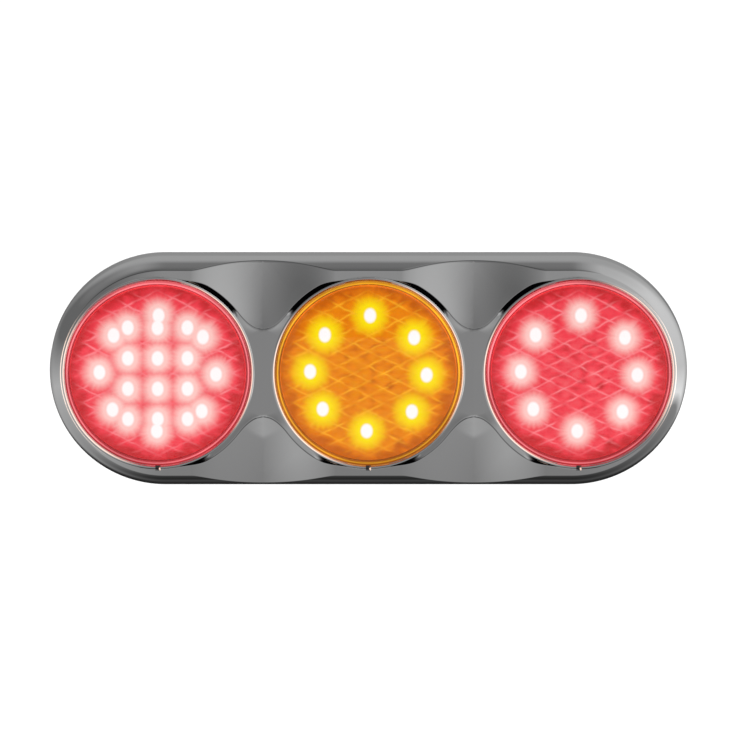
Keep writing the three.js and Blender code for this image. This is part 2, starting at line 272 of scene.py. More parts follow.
def turned(profile, x=0.0, y=0.0, steps=96, closed=True):
    """A new mesh: a profile spun about a line along z at (x, y)."""
    bm = bmesh.new()
    verts = [bm.verts.new((radius, 0, depth)) for radius, depth in profile]
    edges = [bm.edges.new(pair) for pair in zip(verts, verts[1:])]
    if closed:
        edges.append(bm.edges.new((verts[-1], verts[0])))
    bmesh.ops.spin(
        bm, geom=verts + edges, cent=(0, 0, 0), axis=(0, 0, 1), angle=math.tau, steps=steps, use_merge=True
    )
    bmesh.ops.remove_doubles(bm, verts=bm.verts, dist=TOUCH)
    bmesh.ops.recalc_face_normals(bm, faces=bm.faces)
    bmesh.ops.translate(bm, verts=bm.verts, vec=(x, y, 0))
    return bm


def tube(inner, outer, back, front, roundings, x=0.0, y=0.0, steps=48):
    """A ring of rectangular section. Its roundings go from the inner back corner outwards and round."""
    corners = ((inner, back), (outer, back), (outer, front), (inner, front))
    profile = [(*corner, rounding) for corner, rounding in zip(corners, roundings)]
    return turned(rounded(profile), x, y, steps)


def block(size, place, width, segments=2):
    """A box of a size, centred on a place, with its edges softened."""
    bm = bmesh.new()
    bmesh.ops.create_cube(bm, size=1.0)
    bmesh.ops.scale(bm, verts=bm.verts, vec=size)
    bmesh.ops.translate(bm, verts=bm.verts, vec=place)
    return soften(bm, width, segments)


def join(bm, *others):
    """Adds other meshes to bm and frees them."""
    for other in others:
        mesh = bpy.data.meshes.new("joined")
        other.to_mesh(mesh)
        other.free()
        bm.from_mesh(mesh)
        bpy.data.meshes.remove(mesh)
    return bm


def soften(bm, width, segments=2, angle=35):
    """Bevels every edge that is sharper than angle."""
    limit = math.radians(angle)
    sharp = [e for e in bm.edges if e.is_manifold and e.calc_face_angle() > limit]
    bmesh.ops.bevel(
        bm, geom=sharp, offset=width, segments=segments, profile=0.5, affect="EDGES", material=-1,
        clamp_overlap=True,
    )
    return bm


def stadium(edge, steps=32):
    """The outline of the whole light at a distance from its centre line."""
    points = []
    for side in (1, -1):
        for i in range(steps + 1):
            angle = math.pi * (i / steps - 0.5)
            points.append((side * (END_X + edge * math.cos(angle)), side * edge * math.sin(angle)))
    return points


def circle(radius, x, y, steps=32):
    angles = [math.tau * i / steps for i in range(steps)]
    return [(x + radius * math.cos(angle), y + radius * math.sin(angle)) for angle in angles]


def spots(prefix):
    """The centres of the four pieces named prefix_1 to prefix_4, seen from the front."""
    places = []
    for i in range(1, 5):
        low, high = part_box(f"{prefix}_{i}")
        places.append(((low[0] + high[0]) / 2, (low[2] + high[2]) / 2))
    return places


def plate(loops, back, front):
    """A new mesh: a flat plate whose first loop is its outline and whose others are holes."""
    bm = bmesh.new()
    for loop in loops:
        verts = [bm.verts.new((x, y, back)) for x, y in loop]
        for pair in zip(verts, verts[1:] + verts[:1]):
            bm.edges.new(pair)
    bmesh.ops.triangle_fill(bm, use_beauty=True, use_dissolve=False, edges=bm.edges)
    made = bmesh.ops.extrude_face_region(bm, geom=bm.faces)
    moved = [v for v in made["geom"] if isinstance(v, bmesh.types.BMVert)]
    bmesh.ops.translate(bm, verts=moved, vec=(0, 0, front - back))
    bmesh.ops.recalc_face_normals(bm, faces=bm.faces)
    return bm


def add_piece(bm, name, body, material, replaces=(), sharp=35):
    """Stands a mesh up and makes it a piece of the light."""
    bmesh.ops.transform(bm, matrix=STANDING, verts=bm.verts)
    mesh = bpy.data.meshes.new(name)
    bm.to_mesh(mesh)
    bm.free()
    mesh.shade_smooth()
    mesh.set_sharp_from_angle(angle=math.radians(sharp))
    mesh.materials.append(material)
    piece = bpy.data.objects.new(name, mesh)
    bpy.context.scene.collection.objects.link(piece)
    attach(piece, body)
    if replaces:
        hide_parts(*replaces)
    return piece


def add_lamp_piece(bm, lamp, name, material, node=None, sharp=35):
    """Makes a mesh a piece of one lamp, in place of the lamp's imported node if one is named."""
    replaces = [f"{lamp}_{node}"] if node else ()
    return add_piece(bm, f"{lamp}_{name}", f"{lamp}_lamp", material, replaces, sharp)


# Node helpers


def node_group(name, inputs, outputs):
    """An empty shader group with its sockets, and its input and output nodes."""
    tree = bpy.data.node_groups.new(name, "ShaderNodeTree")
    for label, kind, default in inputs:
        socket = tree.interface.new_socket(label, in_out="INPUT", socket_type=kind)
        if default is not None:
            socket.default_value = default
    for label, kind in outputs:
        tree.interface.new_socket(label, in_out="OUTPUT", socket_type=kind)
    return tree, tree.nodes.new("NodeGroupInput"), tree.nodes.new("NodeGroupOutput")


def feed(tree, socket, value):
    """Gives a socket its value, which is another socket, a number or a colour."""
    if isinstance(value, (int, float)):
        socket.default_value = value
    elif isinstance(value, tuple):
        socket.default_value = (*value, 1.0)
    else:
        tree.links.new(value, socket)


def math_node(tree, operation, *values):
    """A Math node fed by sockets or numbers. Returns its result."""
    node = tree.nodes.new("ShaderNodeMath")
    node.operation = operation
    for socket, value in zip(node.inputs, values):
        feed(tree, socket, value)
    return node.outputs["Value"]


def noise_node(tree, position, scale, detail=3.0, roughness=0.55):
    node = tree.nodes.new("ShaderNodeTexNoise")
    values = {"Vector": position, "Scale": scale, "Detail": detail, "Roughness": roughness}
    for label, value in values.items():
        feed(tree, node.inputs[label], value)
    return node.outputs["Fac"]


def attribute(tree, name):
    """A value that the mesh carries at each vertex."""
    node = tree.nodes.new("ShaderNodeAttribute")
    node.attribute_name = name
    return node.outputs["Fac"]


def map_range(tree, value, source=(0.0, 1.0), target=(0.0, 1.0), smooth=False):
    """Maps one span of values to another. Their ends are sockets or numbers."""
    node = tree.nodes.new("ShaderNodeMapRange")
    node.interpolation_type = "SMOOTHSTEP" if smooth else "LINEAR"
    labels = ("Value", "From Min", "From Max", "To Min", "To Max")
    for label, end in zip(labels, (value, *source, *target)):
        feed(tree, node.inputs[label], end)
    return node.outputs["Result"]


def ramp(tree, value, stops):
    """A colour ramp of (position, colour) stops."""
    node = tree.nodes.new("ShaderNodeValToRGB")
    elements = node.color_ramp.elements
    while len(elements) > 1:
        elements.remove(elements[-1])
    for i, (position, colour) in enumerate(stops):
        element = elements[0] if i == 0 else elements.new(position)
        element.position = position
        element.color = (*colour, 1.0)
    tree.links.new(value, node.inputs["Fac"])
    return node.outputs["Color"]


def between(tree, value, first, second, low=0.3, high=0.7):
    """A colour that goes from the first to the second while a value rises from low to high."""
    return ramp(tree, value, [(low, first), (high, second)])


def mix_colours(tree, kind, factor, under, over):
    """A colour Mix node. Its factor and its colours are sockets or values."""
    node = tree.nodes.new("ShaderNodeMix")
    node.data_type = "RGBA"
    node.blend_type = kind
    for socket, value in zip((node.inputs["Factor"], *node.inputs[6:8]), (factor, under, over)):
        feed(tree, socket, value)
    return node.outputs[2]


def grain_group():
    """Fine moulded texture: a height for bump and a shade for colour."""
    name = "Moulded Grain"
    if name in bpy.data.node_groups:
        return bpy.data.node_groups[name]
    tree, source, result = node_group(
        name,
        [("Position", "NodeSocketVector", None), ("Scale", "NodeSocketFloat", 900.0)],
        [("Height", "NodeSocketFloat"), ("Shade", "NodeSocketFloat")],
    )
    position, scale = source.outputs["Position"], source.outputs["Scale"]
    fine = noise_node(tree, position, scale, 4.0, 0.6)
    broad = noise_node(tree, position, math_node(tree, "MULTIPLY", scale, 0.03))
    mixed = math_node(tree, "MULTIPLY_ADD", fine, 0.35, math_node(tree, "MULTIPLY", broad, 0.65))
    tree.links.new(fine, result.inputs["Height"])
    tree.links.new(mixed, result.inputs["Shade"])
    return tree


def haze_group():
    """Uneven polish from handling: a roughness that drifts between two values."""
    name = "Handling Haze"
    if name in bpy.data.node_groups:
        return bpy.data.node_groups[name]
    tree, source, result = node_group(
        name,
        [
            ("Position", "NodeSocketVector", None),
            ("Scale", "NodeSocketFloat", 30.0),
            ("Low", "NodeSocketFloat", 0.1),
            ("High", "NodeSocketFloat", 0.2),
        ],
        [("Roughness", "NodeSocketFloat")],
    )
    cloud = noise_node(tree, source.outputs["Position"], source.outputs["Scale"], 5.0, 0.6)
    drift = map_range(tree, cloud, target=(source.outputs["Low"], source.outputs["High"]))
    tree.links.new(drift, result.inputs["Roughness"])
    return tree


def new_material(name, **plain):
    """A material with one Principled shader. Returns (material, tree, shader, Object coordinates)."""
    material = bpy.data.materials.new(name)
    material.use_nodes = True
    tree = material.node_tree
    shader = tree.nodes["Principled BSDF"]
    for label, value in plain.items():
        shader.inputs[label.replace("_", " ").title().replace("Ior", "IOR")].default_value = value
    place = tree.nodes.new("ShaderNodeTexCoord")
    return material, tree, shader, place.outputs["Object"]


def place_group(tree, group, **values):
    """Places a shader group and feeds its inputs. Returns its outputs."""
    node = tree.nodes.new("ShaderNodeGroup")
    node.node_tree = group
    for label, value in values.items():
        feed(tree, node.inputs[label.title()], value)
    return node.outputs


def use_haze(tree, shader, position, scale, low, high):
    haze = place_group(tree, haze_group(), position=position, scale=scale, low=low, high=high)
    tree.links.new(haze["Roughness"], shader.inputs["Roughness"])


def use_bump(tree, shader, height, strength, distance):
    bump = tree.nodes.new("ShaderNodeBump")
    for label, value in (("Strength", strength), ("Distance", distance), ("Height", height)):
        feed(tree, bump.inputs[label], value)
    tree.links.new(bump.outputs["Normal"], shader.inputs["Normal"])


def use_grain(tree, shader, position, scale, dark, light, distance):
    """Colour between dark and light, with a bump, from the grain group."""
    grain = place_group(tree, grain_group(), position=position, scale=scale)
    tree.links.new(between(tree, grain["Shade"], dark, light), shader.inputs["Base Color"])
    use_bump(tree, shader, grain["Height"], 0.4, distance)


# Finishes


def grey(level):
    return shade(level, level, level)


def chrome_finish():
    """Bright plating with painted shade in its creases, gaps and notch, and a painted glow where a cover's
    lit edge would reflect in it.
    """
    material, tree, shader, position = new_material(
        "Chrome Plating", metallic=1.0, emission_strength=0.75
    )
    cloud = noise_node(tree, position, 18.0, 2.0)
    bright = between(tree, cloud, (0.93, 0.932, 0.935), (0.955, 0.957, 0.96))
    # Painted shade: the base colour goes nearly black where the shade attribute is set.
    marked = mix_colours(tree, "MIX", attribute(tree, "shade"), bright, (0.004, 0.004, 0.005))
    tree.links.new(marked, shader.inputs["Base Color"])
    # Painted glow: emission on the lip rings and the notch beads, standing in for light reflected from the
    # covers.
    lit = between(tree, attribute(tree, "leak"), BLACK, shade(248, 220, 200), 0.0, 1.0)
    tree.links.new(lit, shader.inputs["Emission Color"])
    use_haze(tree, shader, position, 45.0, 0.03, 0.06)
    return material


def black_plastic_finish():
    material, tree, shader, position = new_material("Black Moulded Plastic")
    use_grain(tree, shader, position, 1800.0, (0.008, 0.008, 0.009), (0.02, 0.02, 0.022), 0.00006)
    use_haze(tree, shader, position, 60.0, 0.42, 0.58)
    return material


def rubber_finish():
    material, tree, shader, position = new_material("Black Rubber")
    use_grain(tree, shader, position, 1200.0, (0.010, 0.010, 0.010), (0.026, 0.026, 0.027), 0.00005)
    use_haze(tree, shader, position, 80.0, 0.6, 0.78)
    return material


def foam_finish():
    material, tree, shader, position = new_material("Closed Cell Foam")
    cells = tree.nodes.new("ShaderNodeTexVoronoi")
    cells.inputs["Scale"].default_value = 1100.0
    tree.links.new(position, cells.inputs["Vector"])
    distance = cells.outputs["Distance"]
    colour = between(tree, distance, (0.008, 0.008, 0.009), (0.035, 0.035, 0.037), 0.0, 0.6)
    tree.links.new(colour, shader.inputs["Base Color"])
    use_bump(tree, shader, distance, 0.6, 0.0002)
    use_haze(tree, shader, position, 50.0, 0.85, 0.98)
    return material


def zinc_finish():
    material, tree, shader, position = new_material("Zinc Plated Steel", metallic=1.0)
    use_grain(tree, shader, position, 2600.0, (0.42, 0.44, 0.45), (0.6, 0.61, 0.6), 0.00002)
    use_haze(tree, shader, position, 300.0, 0.22, 0.42)
    return material


def resin_finish():
    material, tree, shader, position = new_material("Potting Resin", coat_weight=0.4)
    use_grain(tree, shader, position, 240.0, (0.008, 0.007, 0.009), (0.02, 0.018, 0.02), 0.0001)
    use_haze(tree, shader, position, 90.0, 0.2, 0.4)
    return material


def clear_plastic_finish():
    material, tree, shader, position = new_material(
        "Clear Optic Plastic", ior=1.49, transmission_weight=1.0
    )
    cloud = noise_node(tree, position, 60.0)
    tint = between(tree, cloud, (0.94, 0.96, 0.97), (0.98, 0.985, 0.99))
    tree.links.new(tint, shader.inputs["Base Color"])
    use_haze(tree, shader, position, 90.0, 0.02, 0.1)
    return material


def circuit_board_finish():
    material, tree, shader, position = new_material("White Solder Mask", coat_weight=0.2)
    use_grain(tree, shader, position, 700.0, (0.74, 0.73, 0.69), (0.86, 0.85, 0.82), 0.00002)
    use_haze(tree, shader, position, 120.0, 0.3, 0.45)
    return material


def from_centre(tree, x):
    """Distance on the face of the light from a lamp's centre, from Object coordinates."""
    place = tree.nodes.new("ShaderNodeTexCoord")
    centred = tree.nodes.new("ShaderNodeMapping")
    centred.inputs["Location"].default_value = (-x, 0, 0)
    centred.inputs["Scale"].default_value = (1, 0, 1)
    tree.links.new(place.outputs["Object"], centred.inputs["Vector"])
    length = tree.nodes.new("ShaderNodeVectorMath")
    length.operation = "LENGTH"
    tree.links.new(centred.outputs["Vector"], length.inputs[0])
    return length.outputs["Value"]


def lamp_colours(lamp):
    """A lamp's unlit colour, its lit colour and the colour round its LEDs."""
    settings = bpy.context.scene.taillight_lens
    colour = LAMP_COLOUR[lamp]
    return tuple(getattr(settings, name) for name in (f"{colour}_deep", colour, f"{colour}_glow"))


def scaled(colour, factor):
    return tuple(channel * factor for channel in colour)


BLACK = (0.0, 0.0, 0.0)
LINE_COLOURS = {"red": shade(252, 150, 156), "amber": shade(252, 190, 42)}
COVER_TINT = {"red": (1.0, 0.62, 0.64), "amber": (1.0, 0.86, 0.5)}
GLOW_STRENGTH = 2.0
FULL_GLOW = 0.42


def seen_through(lamp, colour):
    """The colour to give off behind a tinted cover, so that colour is what leaves it."""
    return tuple(c / t / GLOW_STRENGTH for c, t in zip(colour, COVER_TINT[LAMP_COLOUR[lamp]]))


def cover_finish(lamp):
    """Tinted clear cover, lit from behind, with a brighter line round its rim."""
    material, tree, shader, position = new_material(
        f"{lamp.title()} Cover", ior=1.33, transmission_weight=1.0, emission_strength=1.0
    )
    deep, lit, _ = lamp_colours(lamp)
    tint = COVER_TINT[LAMP_COLOUR[lamp]]
    clouded = between(tree, noise_node(tree, position, 40.0), scaled(tint, 0.97), tint)
    tree.links.new(clouded, shader.inputs["Base Color"])
    use_haze(tree, shader, position, 70.0, 0.0, 0.03)
    share = math_node(tree, "DIVIDE", from_centre(tree, LAMP_X[lamp]), LENS_RADIUS)
    rim = ramp(tree, share, [
        (0.0, BLACK),
        (0.935, BLACK),
        (0.945, scaled(deep, 0.35)),
        (0.965, scaled(lit, 0.3)),
        (0.975, scaled(LINE_COLOURS[LAMP_COLOUR[lamp]], 0.7)),
        (0.983, scaled(lit, 0.3)),
        (0.995, scaled(deep, 0.4)),
    ])
    patches = noise_node(tree, position, 28.0, 2.0)
    uneven = between(tree, patches, (0.7, 0.7, 0.7), (1.15, 1.15, 1.15), 0.35, 0.65)
    tree.links.new(mix_colours(tree, "MULTIPLY", 1.0, rim, uneven), shader.inputs["Emission Color"])
    return material


# The glow grows from the lit colour at its edge, by a power of the nearness, and ends in a white core.
HALO_EDGE = 0.25
HALO_FULL = 0.65
CORE_EDGE = 0.72
CORE_FULL = 0.8
HALO_POWER = {"red": 1.5, "amber": 1.0}
HALO_STEPS = 6


def halo_stops(lamp):
    """Colours by nearness to an LED, from the edge of its glow to its middle."""
    _, lit, glow = lamp_colours(lamp)
    stops = []
    for i in range(HALO_STEPS + 1):
        share = (i / HALO_STEPS) ** HALO_POWER[LAMP_COLOUR[lamp]]
        colour = tuple(a + (b - a) * share for a, b in zip(lit, glow))
        stops.append((HALO_EDGE + (HALO_FULL - HALO_EDGE) * i / HALO_STEPS, colour))
    return stops + [(CORE_EDGE, tuple(glow)), (CORE_FULL, (1.0, 1.0, 1.0))]


def prism_finish(lamp):
    """The lit prism field: a glow round each LED over a mottled field with lattice lines."""
    material, tree, shader, position = new_material(
        f"{lamp.title()} Prisms", emission_strength=GLOW_STRENGTH, roughness=0.3, specular_ior_level=0.1
    )
    deep, lit, glow = lamp_colours(lamp)
    pale = tuple(0.86 * a + 0.14 * b for a, b in zip(lit, glow))
    tones = ((0.0, scaled(deep, 0.8)), (0.3, deep), (0.6, lit), (1.0, pale))
    field = ramp(tree, attribute(tree, "tone"), [(at, seen_through(lamp, tone)) for at, tone in tones])
    nearness = attribute(tree, "glow")
    halo = ramp(tree, nearness, [(at, seen_through(lamp, colour)) for at, colour in halo_stops(lamp)])
    lighted = mix_colours(tree, "MIX", map_range(tree, nearness, (0.0, FULL_GLOW)), field, halo)
    line = seen_through(lamp, LINE_COLOURS[LAMP_COLOUR[lamp]])
    marked = mix_colours(tree, "MIX", attribute(tree, "lattice"), lighted, line)
    tree.links.new(marked, shader.inputs["Emission Color"])
    speckle = between(tree, noise_node(tree, position, 400.0), scaled(deep, 0.15), scaled(deep, 0.3))
    tree.links.new(speckle, shader.inputs["Base Color"])
    return material


# Bezel


def edge_distance(x, y):
    """Distance from the centre line of the outline."""
    return math.hypot(max(0.0, abs(x) - END_X), y)


SCOOP_SHARPNESS = 1.7
FLANK_START = 0.3
FLANK_END = 0.99999


def front_height(settings, x, y):
    """Depth of the shell's front: a roof that falls to its edge, with a scoop between two lamps."""
    distance = edge_distance(x, y)
    roof = settings.ring + settings.roof_slope * (settings.foot - distance)
    inwards = 1 - abs(abs(x) - HALF_PITCH) / settings.scoop_reach
    if inwards <= 0:
        return roof
    along = distance - settings.tip
    valley = settings.bridge - settings.scoop_fall * along - settings.scoop_bend * along**2
    return roof + (valley - roof) * math.sin(math.pi / 2 * inwards) ** SCOOP_SHARPNESS


def flank_height(settings, x, y):
    """Depth of the rounded flank, which plays no part well inside the edge."""
    t = min(1.0, 1 - (END_RADIUS - edge_distance(x, y)) / settings.flank)
    if t < FLANK_START:
        return math.inf
    if t > FLANK_END:
        return settings.flank_back
    return settings.flank_back + settings.flank_depth * math.sqrt(1 - t * t)


def crossing(difference, low, high):
    """Where a rising difference passes zero, or high if it never does."""
    if difference(low) >= 0:
        return low
    for _ in range(40):
        halfway = (low + high) / 2
        if difference(halfway) < 0:
            low = halfway
        else:
            high = halfway
    return high


def outline_distance(x, angle):
    """How far the outline is from a lamp's centre along a ray."""
    across, up = math.cos(angle), math.sin(angle)
    distance = END_RADIUS / max(abs(up), TOUCH)
    landing = x + distance * across
    if abs(landing) <= END_X:
        return distance
    offset = x - math.copysign(END_X, landing)
    along = offset * across
    return -along + math.sqrt(along**2 - offset**2 + END_RADIUS**2)


UPRIGHT = 1e-9
CREASE_START = 0.0001
# Tilts of a ray in degrees: where the crease runs out into the lip, where its tip ends, and where
# the gap beside the lip opens and closes above and below the middle.
CREASE_ENDS = (60, 77)
TIP_ENDS = (32, 40)
GAP_ABOVE = (36, 40, 72, 77)
GAP_BELOW = (57, 63, 74, 78)


def faces_neighbour(x, angle):
    """Whether a ray from a lamp's centre runs towards another lamp."""
    across = math.cos(angle)
    return across > UPRIGHT and x < HALF_PITCH or across < -UPRIGHT and x > -HALF_PITCH


def tilt_of(angle):
    """How steep a ray is, in degrees from level."""
    return math.degrees(math.atan2(abs(math.sin(angle)), abs(math.cos(angle))))


def crease_distance(settings, x, angle):
    """How far the crease where a scoop starts is from a lamp's centre along a ray."""
    nearest = settings.foot + CREASE_START
    if not faces_neighbour(x, angle):
        return nearest
    across, up, tilt = abs(math.cos(angle)), abs(math.sin(angle)), tilt_of(angle)
    circle_part = settings.crease - (settings.crease - nearest) * blend(*CREASE_ENDS, tilt)
    share = blend(*TIP_ENDS, tilt)
    if share == 1:
        return circle_part
    tip_part = crossing(
        lambda d: d * up - settings.tip - settings.tip_bend * (HALF_PITCH - d * across) ** 2,
        settings.foot,
        HALF_PITCH / across,
    )
    return tip_part * (1 - share) + circle_part * share


def gap_weight(x, angle):
    """How deep the gap beside the lip is along a ray, and how much painted shade it holds, from 0 to 1."""
    if not faces_neighbour(x, angle):
        return 0.0
    opening, opened, closing, closed = GAP_ABOVE if math.sin(angle) > 0 else GAP_BELOW
    return blend(opening, opened, tilt_of(angle)) * (1 - blend(closing, closed, tilt_of(angle)))


COLLAR_BACK = 0.0186
LIP_STEPS = 7
LIP_RISE = 0.00045
NOTCH_HALF_WIDTH = 0.0011
NOTCH_REACH = 0.0436
NOTCH_DEPTH = 0.0032
LINE_HALF_WIDTH = 0.00032
LINE_DEPTH = 0.0001
MIN_LINE = 0.00002
LINE_FADE = 0.012
# Painted shade on the chrome: along the shoulder line, along the crease and in the notch.
LINE_SHADE = 0.6
CREASE_SHADE = 0.75
NOTCH_SHADE = 0.85
BAND_STEPS = 8
SCOOP_STEPS = 14
FLANK_STEPS = 15
RAYS_PER_QUARTER = 58
SIDE_FRONT_SHARE = 0.5
# The lip rings that carry a painted glow, brightest along a bearing turned this far from level and its
# opposite.
LIP_RINGS = (2, 4)
PAINTED_GLOW_TURN = math.radians(18)


def ray_angles(settings):
    """Rays round a lamp, denser near the corners of its cell and beside its notch."""
    shoulder = crossing(
        lambda y: front_height(settings, HALF_PITCH, y) - flank_height(settings, HALF_PITCH, y),
        settings.tip, END_RADIUS,
    )
    rise = END_RADIUS - shoulder
    heights = [settings.tip + step * LINE_HALF_WIDTH for step in (-1, 0, 1)]
    heights += [shoulder + step * LINE_HALF_WIDTH for step in (-3, -1, 0, 1)]
    heights += [END_RADIUS - rise * share for share in (0.75, 0.5, 0.3, 0.15, 0.05, 0)]
    quarter = [math.pi / 2 * i / RAYS_PER_QUARTER for i in range(RAYS_PER_QUARTER + 1)]
    quarter += [math.atan2(height, HALF_PITCH) for height in heights]
    quarter += [math.radians(68 + i / 2) for i in range(18)]
    quarter += [math.pi / 2 - NOTCH_HALF_WIDTH * share / NOTCH_REACH for share in (0.5, 1, 1.1)]
    quarter = {round(angle, 7) for angle in quarter}
    upper = sorted(quarter | {round(math.pi - angle, 7) for angle in quarter})
    level = 1e-5
    lower = [-angle for angle in upper if level < angle < math.pi - level]
    return sorted(upper + lower)


def cell_ray(settings, x, angle):
    """The shell's front along one ray from a lamp's centre, as (distance, depth, shade) points."""
    across, up = math.cos(angle), math.sin(angle)

    def roof(distance):
        return front_height(settings, x + distance * across, distance * up)

    def flank(distance):
        return flank_height(settings, x + distance * across, distance * up)

    edge = outline_distance(x, angle)
    inside = faces_neighbour(x, angle)
    limit = min(edge, HALF_PITCH / abs(across)) if inside else edge
    crease = min(limit, crease_distance(settings, x, angle))
    shoulder = crossing(lambda d: roof(d) - flank(d), crease, edge)
    if shoulder - crease < 4 * MIN_LINE:
        shoulder = crease
    line = min(LINE_HALF_WIDTH, (shoulder - crease) / 4, (edge - shoulder) / 4)
    # The groove along the shoulder and its painted shade run only on the upper side, and fade out past the
    # right lamp.
    line_mark = blend(0.0, 0.3, up) * line / LINE_HALF_WIDTH
    line_mark *= 1 - blend(LAMP_X["right"], LAMP_X["right"] + LINE_FADE, x + shoulder * across)

    def front_point(distance):
        """A point in front of the crease, sunk and given painted shade near the line along the shoulder."""
        near = line_mark * max(0.0, 1 - abs(distance - shoulder) / max(line, TOUCH))
        return distance, min(roof(distance), flank(distance)) - LINE_DEPTH * near, LINE_SHADE * near

    points = band_points(settings, x, angle, crease, limit < edge and crease == limit,
                         min(roof(crease), flank(crease)))
    # The crease where a scoop starts is sunk a little and given painted shade.
    if inside and limit * abs(up) >= settings.tip - TOUCH:
        distance, depth, dark = points[-1]
        crease_dark = CREASE_SHADE * (1 - blend(74, 82, tilt_of(angle)))
        points[-1] = distance, depth - LINE_DEPTH, max(dark, crease_dark)
    inner, outer, start = crease + line, shoulder - line, shoulder + line
    distances = [crease + line / 2]
    distances += [inner + (outer - inner) * i / SCOOP_STEPS for i in range(SCOOP_STEPS + 1)]
    distances += [shoulder - line / 2, shoulder, shoulder + line / 2]
    distances += [
        start + (edge - start) * math.sin(math.pi / 2 * i / FLANK_STEPS) for i in range(FLANK_STEPS + 1)
    ]
    points += [front_point(distance) for distance in distances]
    last = front_point(limit) if limit > crease else (limit, settings.bridge, 0.0)
    points = [last if point[0] > limit else point for point in points]
    # The notch is cut down and given painted shade.
    notched = up < 0 and abs(settings.foot * across) < NOTCH_HALF_WIDTH
    if notched:
        cut = settings.ring - NOTCH_DEPTH
        points = [(p[0], cut, NOTCH_SHADE) if p[0] < NOTCH_REACH else p for p in points]
    end_depth, back = points[-1][1], -BEZEL_HIGH[1]
    side = (end_depth, end_depth)
    if limit >= edge - TOUCH:
        side = (back + (end_depth - back) * SIDE_FRONT_SHARE, back)
    points += [(limit, depth, 0.0) for depth in side]
    return lip_points(settings, notched) + points


def band_points(settings, x, angle, crease, on_bridge, surface):
    """The band from the lip's foot to the crease, as (distance, depth, shade) points."""
    crease_depth = settings.bridge if on_bridge else surface
    weight = gap_weight(x, angle)
    points = []
    for i in range(BAND_STEPS + 1):
        t = i / BAND_STEPS
        distance = settings.foot + (crease - settings.foot) * t
        depth = settings.ring + (crease_depth - settings.ring) * t
        # The gap sinks into the band, and its weight gives the band painted shade.
        depth -= settings.gap * weight * math.sin(math.pi * t)
        points.append((distance, depth, weight * blend(0, 0.12, t)))
    return points


def lip_points(settings, notched):
    """The collar and the rounded lip at its front, as (distance, depth, shade) points."""
    width = (settings.foot - settings.opening) / 2
    points = [(settings.opening, COLLAR_BACK, 0.0), (settings.opening, settings.ring - 0.001, 0.0)]
    for i in range(1, LIP_STEPS):
        turn = math.pi * i / LIP_STEPS
        distance = settings.opening + width * (1 - math.cos(turn))
        points.append((distance, settings.ring + LIP_RISE * math.sin(turn), 0.0))
    # In the notch the lip is cut down and given painted shade.
    if notched:
        cut = settings.ring - NOTCH_DEPTH
        points = [(distance, min(depth, cut), NOTCH_SHADE) for distance, depth, _ in points]
    return points


def bezel_cell(settings, lamp):
    """One lamp's cell of the shell: a circle extruded ring by ring out to the cell's edge."""
    x = LAMP_X[lamp]
    angles = ray_angles(settings)
    rays = [cell_ray(settings, x, angle) for angle in angles]
    bm = bmesh.new()
    painted_shade = bm.verts.layers.float.new("shade")
    leak = bm.verts.layers.float.new("leak")
    loop = bmesh.ops.create_circle(bm, segments=len(angles), radius=settings.opening)["verts"]
    edges = list(bm.edges)
    for ring in range(len(rays[0])):
        if ring:
            made = bmesh.ops.extrude_edge_only(bm, edges=edges)["geom"]
            fresh = {v for v in made if isinstance(v, bmesh.types.BMVert)}
            loop = [next(e.other_vert(v) for e in v.link_edges if e.other_vert(v) in fresh) for v in loop]
            edges = [e for e in made if isinstance(e, bmesh.types.BMEdge) and fresh.issuperset(e.verts)]
        for vert, angle, ray in zip(loop, angles, rays):
            distance, depth, dark = ray[ring]
            vert.co = (x + distance * math.cos(angle), distance * math.sin(angle), depth)
            # Each vertex carries its painted shade, and the lip rings a painted glow that is brightest
            # towards the sides.
            vert[painted_shade] = dark
            on_lip = LIP_RINGS[0] <= ring <= LIP_RINGS[1] and not dark
            vert[leak] = blend(0.45, 0.85, abs(math.cos(angle - PAINTED_GLOW_TURN))) if on_lip else 0.0
    between = [f for f in bm.faces if all(abs(abs(v.co.x) - HALF_PITCH) < TOUCH for v in f.verts)]
    bmesh.ops.delete(bm, geom=between, context="FACES")
    return bm


def notch_beads(settings):
    """A small moulded bead beside each notch, carrying a painted highlight that glows all over it."""
    beads = []
    for lamp in LAMPS:
        bead = bmesh.new()
        leak = bead.verts.layers.float.new("leak")
        bmesh.ops.create_uvsphere(bead, u_segments=12, v_segments=8, radius=0.00055)
        for vert in bead.verts:
            vert[leak] = 1.0
        place = (LAMP_X[lamp] + 0.0009, -settings.foot - 0.0001, settings.ring - 0.0012)
        bmesh.ops.translate(bead, verts=bead.verts, vec=place)
        beads.append(bead)
    return beads


def build_bezel():
    settings = bpy.context.scene.taillight_bezel
    bm = join(bmesh.new(), *(bezel_cell(settings, lamp) for lamp in LAMPS))
    bmesh.ops.remove_doubles(bm, verts=bm.verts, dist=5e-7)
    bmesh.ops.dissolve_degenerate(bm, dist=1e-7, edges=bm.edges)
    bmesh.ops.recalc_face_normals(bm, faces=bm.faces)
    if sum(f.normal.z * f.calc_area() for f in bm.faces) < 0:
        bmesh.ops.reverse_faces(bm, faces=bm.faces)
    bmesh.ops.solidify(bm, geom=bm.faces, thickness=settings.wall)
    bore, end, root = 0.0021, 0.0038, 0.0041
    back, front = 0.0074, 0.0195
    profile = [(bore, back, 0.0002), (end, back, 0.0003), (root, front, 0.0003), (bore, front, 0.0002)]
    bosses = [turned(rounded(profile), x, y, steps=32) for x, y in spots("bezel_screw")]
    join(bm, *bosses, *notch_beads(settings))
    return add_piece(
        bm, "bezel_shell", "base", chrome_finish(), ["chrome_bezel"], sharp=50
    )


# Lamps


